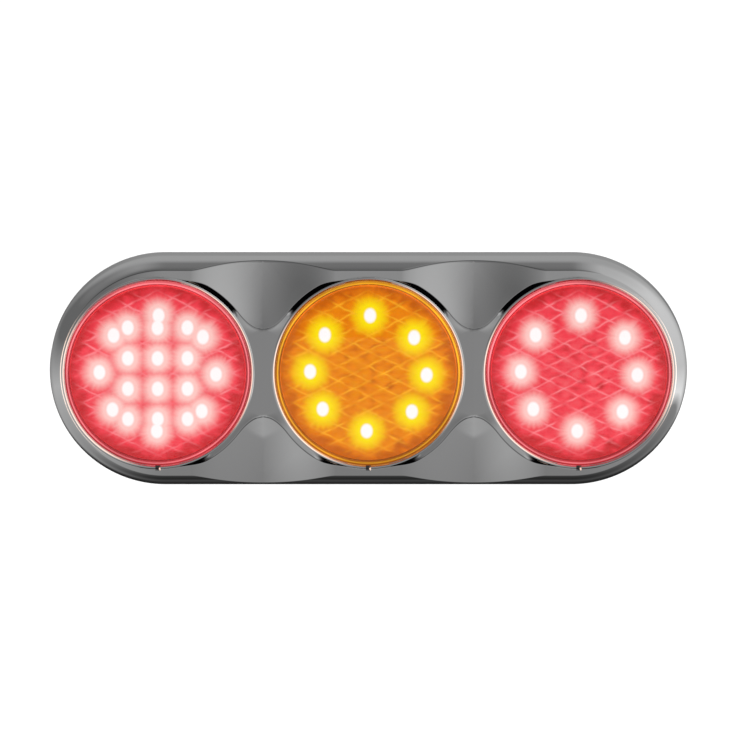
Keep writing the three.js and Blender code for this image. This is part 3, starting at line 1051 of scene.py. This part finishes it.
LED_BEARINGS = (0, 40, 90, 140, 180, 220, 270, 320)
LED_COLUMNS = (-0.0132, 0.0, 0.0132)
LED_ROWS = (-0.0204, -0.0068, 0.0068, 0.0204)
LED_TURN = {"left": -1.0, "centre": -1.7, "right": -1.7}


def led_places(lamp):
    """Where a lamp's LEDs sit, from its centre."""
    radius = bpy.context.scene.taillight_lens.led_ring
    bearings = [math.radians(angle + LED_TURN[lamp]) for angle in LED_BEARINGS]
    places = [(radius * math.cos(bearing), radius * math.sin(bearing)) for bearing in bearings]
    if lamp == "left":
        places += [(x, y) for x in LED_COLUMNS for y in LED_ROWS]
    return places


COVER_RIM = 0.0396
COVER_WALL = 0.0016


def cover_depth(radius):
    """Depth of the cover's dome at a radius."""
    return LENS_FRONT - 0.0026 * (radius / COVER_RIM) ** 2


def build_covers():
    for lamp in LAMPS:
        outside = [(COVER_RIM * i / 14, cover_depth(COVER_RIM * i / 14), 0) for i in range(15)]
        edge = cover_depth(COVER_RIM)
        seat = LENS_RADIUS - 0.0014
        inside = [(seat * i / 8, cover_depth(seat * i / 8) - COVER_WALL, 0) for i in range(9)]
        profile = outside + [
            (COVER_RIM + 0.0003, edge - 0.0003, 0.0001),
            (COVER_RIM + 0.0006, edge - 0.0001, 0.0001),
            (LENS_RADIUS, edge - 0.0002, 0.0005),
            (LENS_RADIUS, LENS_BACK, 0.0002),
            (seat, LENS_BACK, 0.0002),
        ] + inside[::-1]
        bm = turned(rounded(profile), LAMP_X[lamp], closed=False, steps=144)
        add_lamp_piece(bm, lamp, "cover", cover_finish(lamp), "lens", sharp=40)


def glow_at(leds, settings, x, y):
    """How near a spot is to an LED, from 0 to 1, with a little fraying into rays."""
    best = 0.0
    for index, (led_x, led_y) in enumerate(leds):
        away = math.hypot(x - led_x, y - led_y)
        if away > settings.glow_reach * 1.3:
            continue
        across, up = (x - led_x) / (0.8 + 0.17 * blend(0.0025, 0.007, away)), y - led_y
        distance = math.hypot(across, up)
        bearing = math.atan2(up, across)
        fray = noise.noise((math.cos(bearing) * 9, math.sin(bearing) * 9, index * 3.7 + distance * 120))
        share = blend(0.003, 0.0075, distance)
        distance *= 1 + 0.12 * fray * share
        best = max(best, 1 - distance / settings.glow_reach)
    return best


PRISM_FRONT = 0.0004
PRISM_BACK = 0.0018
PRISM_SIDES = 72


def prism_plate(settings):
    """A flat grid whose lines run along the diamonds, cut to a round plate."""
    half_width, half_height = settings.prism_width / 2, settings.prism_height / 2
    reach = settings.prism_reach
    cells = math.ceil(reach * math.hypot(0.5 / half_width, 0.5 / half_height)) + 1
    segments = 2 * cells * settings.prism_steps
    bm = bmesh.new()
    bmesh.ops.create_grid(bm, x_segments=segments, y_segments=segments, size=cells)
    lattice = Matrix((
        (half_width, half_width, 0, 0), (half_height, -half_height, 0, 0), (0, 0, 1, 0), (0, 0, 0, 1),
    ))
    bmesh.ops.transform(bm, matrix=lattice, verts=bm.verts)
    outside = [v for v in bm.verts if math.hypot(v.co.x, v.co.y) > reach + 0.0015]
    bmesh.ops.delete(bm, geom=outside, context="VERTS")
    for i in range(PRISM_SIDES):
        bearing = math.tau * (i + 0.5) / PRISM_SIDES
        normal = Vector((math.cos(bearing), math.sin(bearing), 0))
        bmesh.ops.bisect_plane(
            bm, geom=bm.verts[:] + bm.edges[:] + bm.faces[:], dist=TOUCH, plane_co=normal * reach,
            plane_no=normal, clear_outer=True,
        )
    return bm


def shape_prisms(bm, settings, leds):
    """Raises the prisms of a plate and notes the light at each vertex."""
    half_width, half_height = settings.prism_width / 2, settings.prism_height / 2
    reach = settings.prism_reach
    glow, lines, tone = (bm.verts.layers.float.new(name) for name in ("glow", "lattice", "tone"))
    for vert in bm.verts:
        x, y = vert.co.x, vert.co.y
        radius = math.hypot(x, y)
        wobble = 0.09 * noise.noise((x * 300, y * 300, 2.0))
        along = 0.5 + x / half_width / 2 + y / half_height / 2 + wobble
        across = 0.5 + x / half_width / 2 - y / half_height / 2 - wobble
        near = min(abs(along - round(along)), abs(across - round(across)))
        edge = blend(reach * 0.8, reach, radius)
        broken = 0.55 + 0.9 * noise.noise((x * 190, y * 260, 4.0)) + 0.2 * blend(0.012, 0.026, radius)
        lit = glow_at(leds, settings, x, y)
        line = max(0.0, min(1.0, broken)) * max(0.0, 1 - near * settings.prism_steps * 0.6)
        vert[lines] = 0.85 * line * (1 - edge) * (1 - blend(0.36, 0.58, lit))
        vert[glow] = lit
        facet = noise.noise((round(along * 2) * 1.7, round(across * 2) * 2.3, 7.0))
        mottle = noise.noise((x * 260, y * 420, 9.0))
        vert[tone] = min(1.0, max(0.0, 0.62 + 0.16 * facet + 0.3 * mottle - 0.42 * edge))
        inside = cover_depth(radius) - COVER_WALL
        vert.co.z = inside - PRISM_FRONT - settings.prism_relief * (1 - 2 * near)


def prism_field(lamp):
    """A thin plate of diamond prisms that fills the cover, with its light in vertex attributes."""
    settings = bpy.context.scene.taillight_lens
    bm = prism_plate(settings)
    shape_prisms(bm, settings, led_places(lamp))
    made = bmesh.ops.extrude_face_region(bm, geom=bm.faces)
    for vert in (v for v in made["geom"] if isinstance(v, bmesh.types.BMVert)):
        vert.co.z = cover_depth(math.hypot(vert.co.x, vert.co.y)) - COVER_WALL - PRISM_BACK
    bmesh.ops.recalc_face_normals(bm, faces=bm.faces)
    bmesh.ops.translate(bm, verts=bm.verts, vec=(LAMP_X[lamp], 0, 0))
    return bm


def build_prisms():
    for lamp in LAMPS:
        add_lamp_piece(prism_field(lamp), lamp, "prisms", prism_finish(lamp), sharp=60)


# Tray and what it carries

GASKET_HOLES = {"bezel_screw": 0.0045, "mount_bush": 0.0052}
TRAY_HOLES = {"bezel_screw": 0.0042, "mount_bush": 0.0049}
GASKET_CABLE_GAP = 0.0015
# How far a part's foot sinks into what it stands on.
SUNK = 0.0001
RIM_WALL = 0.0019
SOCKET_LIP = 0.0386
SOCKET_BORE = 0.0417
SOCKET_OUTSIDE = 0.0432
SOCKET_SEAT = 0.0082
POST_BORE = 0.0023
POST_OUTSIDE = 0.0056
POST_HEIGHT = 0.002
COLLAR_OUTSIDE = 0.0063
COLLAR_HEIGHT = 0.001
RIB_GAP = 0.0006
RIB_WALL = 0.0012
RIB_HEIGHT = 0.0009


def pierced_plate(edge, cable_hole, fixing_holes, back, front):
    """A plate of the light's outline, with its cable holes and its holes for the fixings."""
    drop = bpy.context.scene.taillight_back.cable_drop
    loops = [stadium(edge)]
    loops += [circle(cable_hole, x, drop, 48) for x in LAMP_X.values()]
    loops += [circle(radius, x, y) for node, radius in fixing_holes.items() for x, y in spots(node)]
    return soften(plate(loops, back, front), 0.0003)


def build_gasket():
    back, front = depths("foam_gasket")
    edge = -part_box("foam_gasket")[0][2] - 0.0002
    cable_hole = bpy.context.scene.taillight_back.cable_hole + GASKET_CABLE_GAP
    bm = pierced_plate(edge, cable_hole, GASKET_HOLES, back, front)
    add_piece(bm, "gasket", "base", foam_finish(), ["foam_gasket"])


def lamp_socket(settings, x, floor, front):
    """The socket that holds a lamp, and a low rib round its cable hole."""
    sunk = floor - SUNK
    profile = [
        (SOCKET_LIP, sunk, 0), (SOCKET_OUTSIDE, sunk, 0), (SOCKET_OUTSIDE, front, 0.0004),
        (SOCKET_BORE, front, 0.0004), (SOCKET_BORE, SOCKET_SEAT, 0.0003), (SOCKET_LIP, SOCKET_SEAT, 0.0003),
    ]
    hole = settings.cable_hole + RIB_GAP
    rib = tube(
        hole, hole + RIB_WALL, sunk, floor + RIB_HEIGHT, (0, 0, 0.0003, 0.0003), x, settings.cable_drop
    )
    return [turned(rounded(profile), x, steps=128), rib]


def build_tray():
    settings = bpy.context.scene.taillight_back
    back, front = depths("base_tray")
    edge = -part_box("base_tray")[0][2]
    floor = back + settings.tray_floor
    rim = [stadium(edge - SUNK), stadium(edge - SUNK - RIM_WALL)]
    parts = [soften(plate(rim, floor - SUNK, settings.tray_rim), 0.0004)]
    for x in LAMP_X.values():
        parts += lamp_socket(settings, x, floor, front)
    for x, y in spots("bezel_screw"):
        post_back, post_front = floor - 2 * SUNK, floor + POST_HEIGHT
        parts.append(
            tube(POST_BORE, POST_OUTSIDE, post_back, post_front, (0, 0, 0.0003, 0.0002), x, y, steps=40)
        )
    bore = TRAY_HOLES["mount_bush"]
    collar_front = floor + COLLAR_HEIGHT
    for x, y in spots("mount_bush"):
        parts.append(
            tube(bore, COLLAR_OUTSIDE, floor - SUNK, collar_front, (0, 0, 0.0003, 0.0003), x, y, steps=40)
        )
    bm = join(pierced_plate(edge, settings.cable_hole, TRAY_HOLES, back, floor), *parts)
    add_piece(bm, "tray", "base", black_plastic_finish(), ["base_tray"])


def cross(reach, half, x, y):
    """The outline of a cross recess."""
    arm = [(reach, -half), (reach, half), (half, half)]
    points = []
    for _ in range(4):
        points += arm
        arm = [(-up, across) for across, up in arm]
    return [(x + across, y + up) for across, up in points]


SCREW_HEAD = 0.0038
HEAD_HEIGHT = 0.0017
RECESS_DEPTH = 0.0011
SHANK = 0.0018
SHANK_END = 0.0035
THREAD_ROOT = 0.00135
THREAD_CREST = 0.00195
THREAD_TURNS = 9
POINT_START = 0.0022


def build_screws():
    """Pan head screws with a cross recess and a coarse thread, seen from behind."""
    finish = zinc_finish()
    for i, (x, y) in enumerate(spots("bezel_screw"), 1):
        back, tip = depths(f"bezel_screw_{i}")
        outlines = [circle(SCREW_HEAD, x, y, 40), cross(0.0022, 0.0005, x, y)]
        recessed = plate(outlines, back, back + RECESS_DEPTH)
        floor = back + RECESS_DEPTH - SUNK
        profile = [
            (0, floor, 0), (SCREW_HEAD - SUNK, floor, 0),
            (SCREW_HEAD - SUNK / 2, back + HEAD_HEIGHT, 0.0001), (SHANK, back + HEAD_HEIGHT, 0.0001),
            (SHANK, back + SHANK_END, 0),
        ]
        start, end = back + SHANK_END, tip - POINT_START
        pitch = (end - start) / THREAD_TURNS
        for turn in range(THREAD_TURNS):
            place = start + turn * pitch
            for radius, share in ((THREAD_ROOT, 0.2), (THREAD_CREST, 0.6), (THREAD_ROOT, 1)):
                profile.append((radius, place + pitch * share, 0))
        profile += [(0.0011, tip - 0.001, 0), (0, tip, 0)]
        head = soften(recessed, 0.00018, angle=60)
        bm = join(head, turned(rounded(profile), x, y, closed=False, steps=40))
        add_piece(bm, f"screw_{i}", "base", finish, [f"bezel_screw_{i}"])


def build_bushes():
    finish = zinc_finish()
    bore, outside, rounding = 0.0026, 0.0045, 0.0003
    for i, (x, y) in enumerate(spots("mount_bush"), 1):
        bm = tube(bore, outside, *depths(f"mount_bush_{i}"), [rounding] * 4, x, y)
        add_piece(bm, f"bush_{i}", "base", finish, [f"mount_bush_{i}"])


# Inside a lamp


CUP_RADIUS = 0.0396
CUP_BORE = 0.037
CABLE_BORE = 0.005
CUP_WALL = 0.0018
GROOVE_RADIUS = 0.0384
GROOVE_BACK = 0.0137
GROOVE_FRONT = 0.0173
FLANGE_RADIUS = 0.0409
FLANGE_BACK = 0.0206
SLOT_INSIDE = 0.0385
SLOT_OUTSIDE = 0.0401
SLOT_BACK = 0.0216
FILL_RADIUS = 0.0367


def build_housings():
    """Cups with a groove for the retaining ring and a slot for the seal in their flange."""
    finish = black_plastic_finish()
    for lamp in LAMPS:
        back, front = depths(f"{lamp}_lamp_housing")
        profile = [
            (CABLE_BORE, back, 0.0003), (CUP_RADIUS, back, 0.0008), (CUP_RADIUS, GROOVE_BACK, 0.0002),
            (GROOVE_RADIUS, GROOVE_BACK, 0.0003), (GROOVE_RADIUS, GROOVE_FRONT, 0.0003),
            (CUP_RADIUS, GROOVE_FRONT, 0.0002), (CUP_RADIUS, FLANGE_BACK, 0.0002),
            (FLANGE_RADIUS, FLANGE_BACK, 0.0003), (FLANGE_RADIUS, front, 0.0003),
            (SLOT_OUTSIDE, front, 0.0001), (SLOT_OUTSIDE, SLOT_BACK, 0.0002),
            (SLOT_INSIDE, SLOT_BACK, 0.0002), (SLOT_INSIDE, front, 0.0001), (CUP_BORE, front, 0.0002),
            (CUP_BORE, back + CUP_WALL, 0.0006), (CABLE_BORE, back + CUP_WALL, 0.0003),
        ]
        bm = turned(rounded(profile), LAMP_X[lamp], steps=144)
        add_lamp_piece(bm, lamp, "cup", finish, "lamp_housing")


def grip_profile(back, front):
    """A retaining ring's section, with three ridges on its outside."""
    bore, root, crest, ridges = 0.0387, 0.0405, 0.0411, 3
    step = (front - back) / ridges
    profile = [(bore, back, 0.0004), (root, back, 0.0003)]
    for ridge in range(ridges):
        start = back + ridge * step
        profile += [(crest, start + step * 0.35, 0), (crest, start + step * 0.65, 0)]
        if ridge < ridges - 1:
            profile.append((root, start + step, 0))
    return profile + [(root, front, 0.0003), (bore, front, 0.0004)]


def gland_profile(back, front):
    """A cable gland's section: a head behind the housing and a neck through its hole."""
    bore, head, neck, shoulder = 0.0026, 0.0075, 0.0047, 0.0082
    return [
        (bore, back, 0.0003), (head - 0.001, back, 0.0003), (head, back + 0.0008, 0.0002),
        (head, shoulder, 0.0003), (neck, shoulder, 0.0001), (neck, front, 0.0003), (bore, front, 0.0003),
    ]


def build_rubber():
    """The retaining rings, lens seals and cable glands."""
    finish = rubber_finish()
    seal_inside, seal_outside, seal_rounding = 0.03885, 0.03975, 0.0004
    for lamp in LAMPS:
        x = LAMP_X[lamp]
        grip = turned(rounded(grip_profile(*depths(f"{lamp}_retaining_ring"))), x, steps=144)
        add_lamp_piece(grip, lamp, "grip", finish, "retaining_ring")
        back, front = depths(f"{lamp}_lens_seal")
        seal = tube(seal_inside, seal_outside, back, front, [seal_rounding] * 4, x, steps=128)
        add_lamp_piece(seal, lamp, "seal", finish, "lens_seal")
        gland = turned(rounded(gland_profile(*depths(f"{lamp}_cable_gland"))), x, steps=48)
        add_lamp_piece(gland, lamp, "gland", finish, "cable_gland")


def build_potting():
    """Resin behind each board, with the slight hollow that it sets to."""
    finish = resin_finish()
    for lamp in LAMPS:
        back, front = depths(f"{lamp}_potting")
        top = [(CABLE_BORE, front, 0)]
        for i in range(1, 12):
            share = i / 12
            radius = CABLE_BORE + (FILL_RADIUS - CABLE_BORE) * share
            top.append((radius, front - 0.0004 * math.sin(math.pi * share), 0))
        profile = [(CABLE_BORE, back, 0), (FILL_RADIUS, back, 0), (FILL_RADIUS, front, 0)]
        profile += top[:0:-1] + top[:1]
        bm = turned(rounded(profile), LAMP_X[lamp], steps=96)
        add_lamp_piece(bm, lamp, "resin", finish, "potting")


LED_SIZE = (0.0034, 0.0034, 0.0008)
CHIP_SIZE = (0.0021, 0.0013, 0.0008)
CHIP_PLACES = ((-0.004, -0.0335), (0.0, -0.0335), (0.004, -0.0335))
PEG_PLACES = ((-0.031, 0.0085), (0.031, 0.0085), (0.0, 0.0325))
PEG_HOLE = 0.0016
BOARD_THICKNESS = 0.0016
# The dome on an LED, as (radius, height over the board) points.
DOME = ((0.0, 0.00119), (0.0006, 0.00112), (0.0011, 0.0009), (0.0013, 0.0006), (0.0, 0.0006))


def led_package(x, y, front):
    """An LED: a square body with softened edges and a small dome."""
    body = block(LED_SIZE, (x, y, front + 0.00035), 0.0002)
    dome = [(radius, front + height, 0) for radius, height in DOME]
    return join(body, turned(rounded(dome), x, y, closed=False, steps=16))


def build_boards():
    finish = circuit_board_finish()
    for lamp in LAMPS:
        centre = LAMP_X[lamp]
        back, _ = depths(f"{lamp}_led_board")
        front = back + BOARD_THICKNESS
        holes = [circle(PEG_HOLE, centre + x, y, 20) for x, y in PEG_PLACES]
        board = soften(plate([circle(FILL_RADIUS, centre, 0, 120), *holes], back, front), 0.00012)
        leds = [led_package(centre + x, y, front) for x, y in led_places(lamp)]
        chips = [
            block(CHIP_SIZE, (centre + x, y, front + 0.0003), 0.00008, segments=1) for x, y in CHIP_PLACES
        ]
        join(board, *leds, *chips)
        add_lamp_piece(board, lamp, "board", finish, "led_board")


OPTIC_PLATE = 0.0016
OPTIC_RIM = 0.0345
CONE_BACK = 0.0015
CONE_SPREAD = 0.0012
CONE_STEPS = 6


def collimator(x, y, back, front):
    """A clear cone that gathers one LED's light."""
    profile = [(0.0, back + 0.0004, 0), (0.0008, back, 0), (CONE_BACK, back, 0)]
    for i in range(1, CONE_STEPS + 1):
        share = i / CONE_STEPS
        profile.append((CONE_BACK + CONE_SPREAD * math.sqrt(share), back + (front - back) * share, 0))
    profile.append((0.0, front + SUNK, 0))
    return turned(rounded(profile), x, y, closed=False, steps=24)


def build_optics():
    """A clear plate with a raised edge and a collimator behind it for each LED."""
    finish = clear_plastic_finish()
    for lamp in LAMPS:
        centre = LAMP_X[lamp]
        back, front = depths(f"{lamp}_inner_optic")
        plate_back, plate_front = front - OPTIC_PLATE, front - 0.0003
        profile = [
            (0.0, plate_front, 0), (OPTIC_RIM, plate_front, 0.0002), (OPTIC_RIM + 0.0006, front, 0.0002),
            (FILL_RADIUS, front, 0.0003), (FILL_RADIUS, plate_back, 0.0003), (0.0, plate_back, 0),
        ]
        disc = turned(rounded(profile), centre, closed=False, steps=120)
        cones = [collimator(centre + x, y, back, plate_back) for x, y in led_places(lamp)]
        add_lamp_piece(join(disc, *cones), lamp, "optic", finish, "inner_optic")


# Stage


def build_floor(settings):
    bm = bmesh.new()
    bmesh.ops.create_grid(bm, x_segments=8, y_segments=8, size=12.0)
    bmesh.ops.translate(bm, verts=bm.verts, vec=(0, 0, -settings.floor_drop))
    mesh = bpy.data.meshes.new("floor")
    bm.to_mesh(mesh)
    bm.free()
    material, tree, shader, position = new_material("Pale Floor", roughness=0.9)
    pale = between(tree, noise_node(tree, position, 3.0), (0.90, 0.90, 0.90), (0.94, 0.94, 0.94))
    tree.links.new(pale, shader.inputs["Base Color"])
    mesh.materials.append(material)
    floor = bpy.data.objects.new("floor", mesh)
    bpy.context.scene.collection.objects.link(floor)
    floor.visible_glossy = False


def lobe(tree, direction, towards, inner, outer):
    """A soft patch of the surroundings: 1 within inner degrees of a direction, 0 past outer."""
    dot = tree.nodes.new("ShaderNodeVectorMath")
    dot.operation = "DOT_PRODUCT"
    tree.links.new(direction, dot.inputs[0])
    dot.inputs[1].default_value = Vector(towards).normalized()
    ends = (math.cos(math.radians(outer)), math.cos(math.radians(inner)))
    return map_range(tree, dot.outputs["Value"], ends, smooth=True)


# Reflected grey levels by elevation in degrees, in columns from the left of the studio to its right.
SKIES = [
    (-0.85, [(-90, 60), (-50, 145), (-15, 175), (10, 100), (30, 100), (90, 145)]),
    (-0.3, [(-90, 45), (-50, 130), (-30, 160), (0, 120), (15, 100), (50, 100), (90, 150)]),
    (0.0, [
        (-90, 40), (-50, 115), (-23, 135), (-22, 160), (-15, 160), (-10, 135), (0, 110), (20, 140), (45, 90),
        (90, 110),
    ]),
    (0.3, [(-90, 40), (-35, 135), (-10, 140), (25, 180), (90, 170)]),
    (0.85, [(-90, 50), (-35, 120), (-25, 130), (-18, 230), (-5, 195), (40, 205), (90, 170)]),
]


def build_surroundings():
    """Pale studio: white to the camera and for soft light, graded greys for reflections."""
    world = bpy.data.worlds.new("Studio")
    bpy.context.scene.world = world
    world.use_nodes = True
    tree = world.node_tree
    tree.nodes.clear()
    place = tree.nodes.new("ShaderNodeTexCoord")
    direction = place.outputs["Generated"]
    split = tree.nodes.new("ShaderNodeSeparateXYZ")
    tree.links.new(direction, split.inputs["Vector"])
    height = math_node(tree, "MULTIPLY_ADD", split.outputs["Z"], 0.5, 0.5)
    colour = None
    for index, (across, elevations) in enumerate(SKIES):
        stops = [((math.sin(math.radians(e)) + 1) / 2, grey(level)) for e, level in elevations]
        column = ramp(tree, height, stops)
        if colour is None:
            colour = column
            continue
        share = map_range(tree, split.outputs["X"], (SKIES[index - 1][0], across))
        colour = mix_colours(tree, "MIX", share, colour, column)
    colour = mix_colours(tree, "MIX", lobe(tree, direction, (0, 0.75, 0.66), 12, 48), colour, grey(156))
    colour = mix_colours(tree, "MIX", lobe(tree, direction, (0, 0.8, -0.6), 16, 38), colour, grey(40))
    mirrored = tree.nodes.new("ShaderNodeBackground")
    tree.links.new(colour, mirrored.inputs["Color"])
    plain = tree.nodes.new("ShaderNodeBackground")
    plain.inputs["Color"].default_value = (1, 1, 1, 1)
    plain.inputs["Strength"].default_value = 1.25
    path = tree.nodes.new("ShaderNodeLightPath")
    mix = tree.nodes.new("ShaderNodeMixShader")
    tree.links.new(path.outputs["Is Glossy Ray"], mix.inputs["Fac"])
    tree.links.new(plain.outputs["Background"], mix.inputs[1])
    tree.links.new(mirrored.outputs["Background"], mix.inputs[2])
    output = tree.nodes.new("ShaderNodeOutputWorld")
    tree.links.new(mix.outputs["Shader"], output.inputs["Surface"])


AIM = (0.0016, -0.012, -0.0013)
SENSOR = 36.0


def build_camera(settings):
    """Looks at the light from a little above its axis, centred just right of and below it."""
    camera = bpy.data.cameras.new("camera")
    camera.lens = settings.lens
    camera.sensor_width = SENSOR
    distance = settings.view_width * settings.lens / SENSOR
    back = Vector((0, -math.cos(settings.elevation), math.sin(settings.elevation)))
    holder = bpy.data.objects.new("camera", camera)
    holder.location = Vector(AIM) + back * distance
    holder.rotation_euler = (-back).to_track_quat("-Z", "Y").to_euler()
    bpy.context.scene.collection.objects.link(holder)
    bpy.context.scene.camera = holder


# Operators


class TAILLIGHT_OT_bezel(bpy.types.Operator):
    """Build the chrome shell"""

    bl_idname = "taillight.bezel"
    bl_label = "Bezel"

    def execute(self, context):
        build_bezel()
        return {"FINISHED"}


class TAILLIGHT_OT_covers(bpy.types.Operator):
    """Build the red and amber covers"""

    bl_idname = "taillight.covers"
    bl_label = "Covers"

    def execute(self, context):
        build_covers()
        return {"FINISHED"}


class TAILLIGHT_OT_prisms(bpy.types.Operator):
    """Build the lit prism fields inside the covers"""

    bl_idname = "taillight.prisms"
    bl_label = "Prisms"

    def execute(self, context):
        build_prisms()
        return {"FINISHED"}


class TAILLIGHT_OT_tray(bpy.types.Operator):
    """Build the gasket and the tray"""

    bl_idname = "taillight.tray"
    bl_label = "Gasket and Tray"

    def execute(self, context):
        build_gasket()
        build_tray()
        return {"FINISHED"}


class TAILLIGHT_OT_fixings(bpy.types.Operator):
    """Build the screws and the bushes"""

    bl_idname = "taillight.fixings"
    bl_label = "Screws and Bushes"

    def execute(self, context):
        build_screws()
        build_bushes()
        return {"FINISHED"}


class TAILLIGHT_OT_housings(bpy.types.Operator):
    """Build the lamp housings and the resin in them"""

    bl_idname = "taillight.housings"
    bl_label = "Housings"

    def execute(self, context):
        build_housings()
        build_potting()
        return {"FINISHED"}


class TAILLIGHT_OT_rubber(bpy.types.Operator):
    """Build the retaining rings, the lens seals and the cable glands"""

    bl_idname = "taillight.rubber"
    bl_label = "Rubber"

    def execute(self, context):
        build_rubber()
        return {"FINISHED"}


class TAILLIGHT_OT_electronics(bpy.types.Operator):
    """Build the circuit boards and the clear optics in front of them"""

    bl_idname = "taillight.electronics"
    bl_label = "Boards and Optics"

    def execute(self, context):
        build_boards()
        build_optics()
        return {"FINISHED"}


class TAILLIGHT_OT_stage(bpy.types.Operator):
    """Set up the floor, the studio and the camera"""

    bl_idname = "taillight.stage"
    bl_label = "Stage"

    def execute(self, context):
        settings = context.scene.taillight_stage
        build_camera(settings)
        build_floor(settings)
        build_surroundings()
        context.scene.view_settings.view_transform = "Standard"
        return {"FINISHED"}


BUILDERS = (
    TAILLIGHT_OT_stage,
    TAILLIGHT_OT_tray,
    TAILLIGHT_OT_fixings,
    TAILLIGHT_OT_housings,
    TAILLIGHT_OT_rubber,
    TAILLIGHT_OT_electronics,
    TAILLIGHT_OT_bezel,
    TAILLIGHT_OT_covers,
    TAILLIGHT_OT_prisms,
)


class TAILLIGHT_PT_panel(bpy.types.Panel):
    """Lists the pieces of the tail light"""

    bl_label = "Tail Light"
    bl_space_type = "VIEW_3D"
    bl_region_type = "UI"
    bl_category = "Tail Light"

    def draw(self, context):
        for builder in BUILDERS:
            self.layout.operator(builder.bl_idname)


SETTINGS = {
    "taillight_bezel": TaillightBezelSettings,
    "taillight_lens": TaillightLensSettings,
    "taillight_back": TaillightBackSettings,
    "taillight_stage": TaillightStageSettings,
}
CLASSES = (*SETTINGS.values(), *BUILDERS, TAILLIGHT_PT_panel)


def register():
    for cls in CLASSES:
        bpy.utils.register_class(cls)
    for name, settings in SETTINGS.items():
        setattr(bpy.types.Scene, name, PointerProperty(type=settings))


def unregister():
    for name in SETTINGS:
        delattr(bpy.types.Scene, name)
    for cls in reversed(CLASSES):
        bpy.utils.unregister_class(cls)


def main():
    register()
    for builder in BUILDERS:
        group, name = builder.bl_idname.split(".")
        getattr(getattr(bpy.ops, group), name)()


if __name__ == "__main__":
    main()
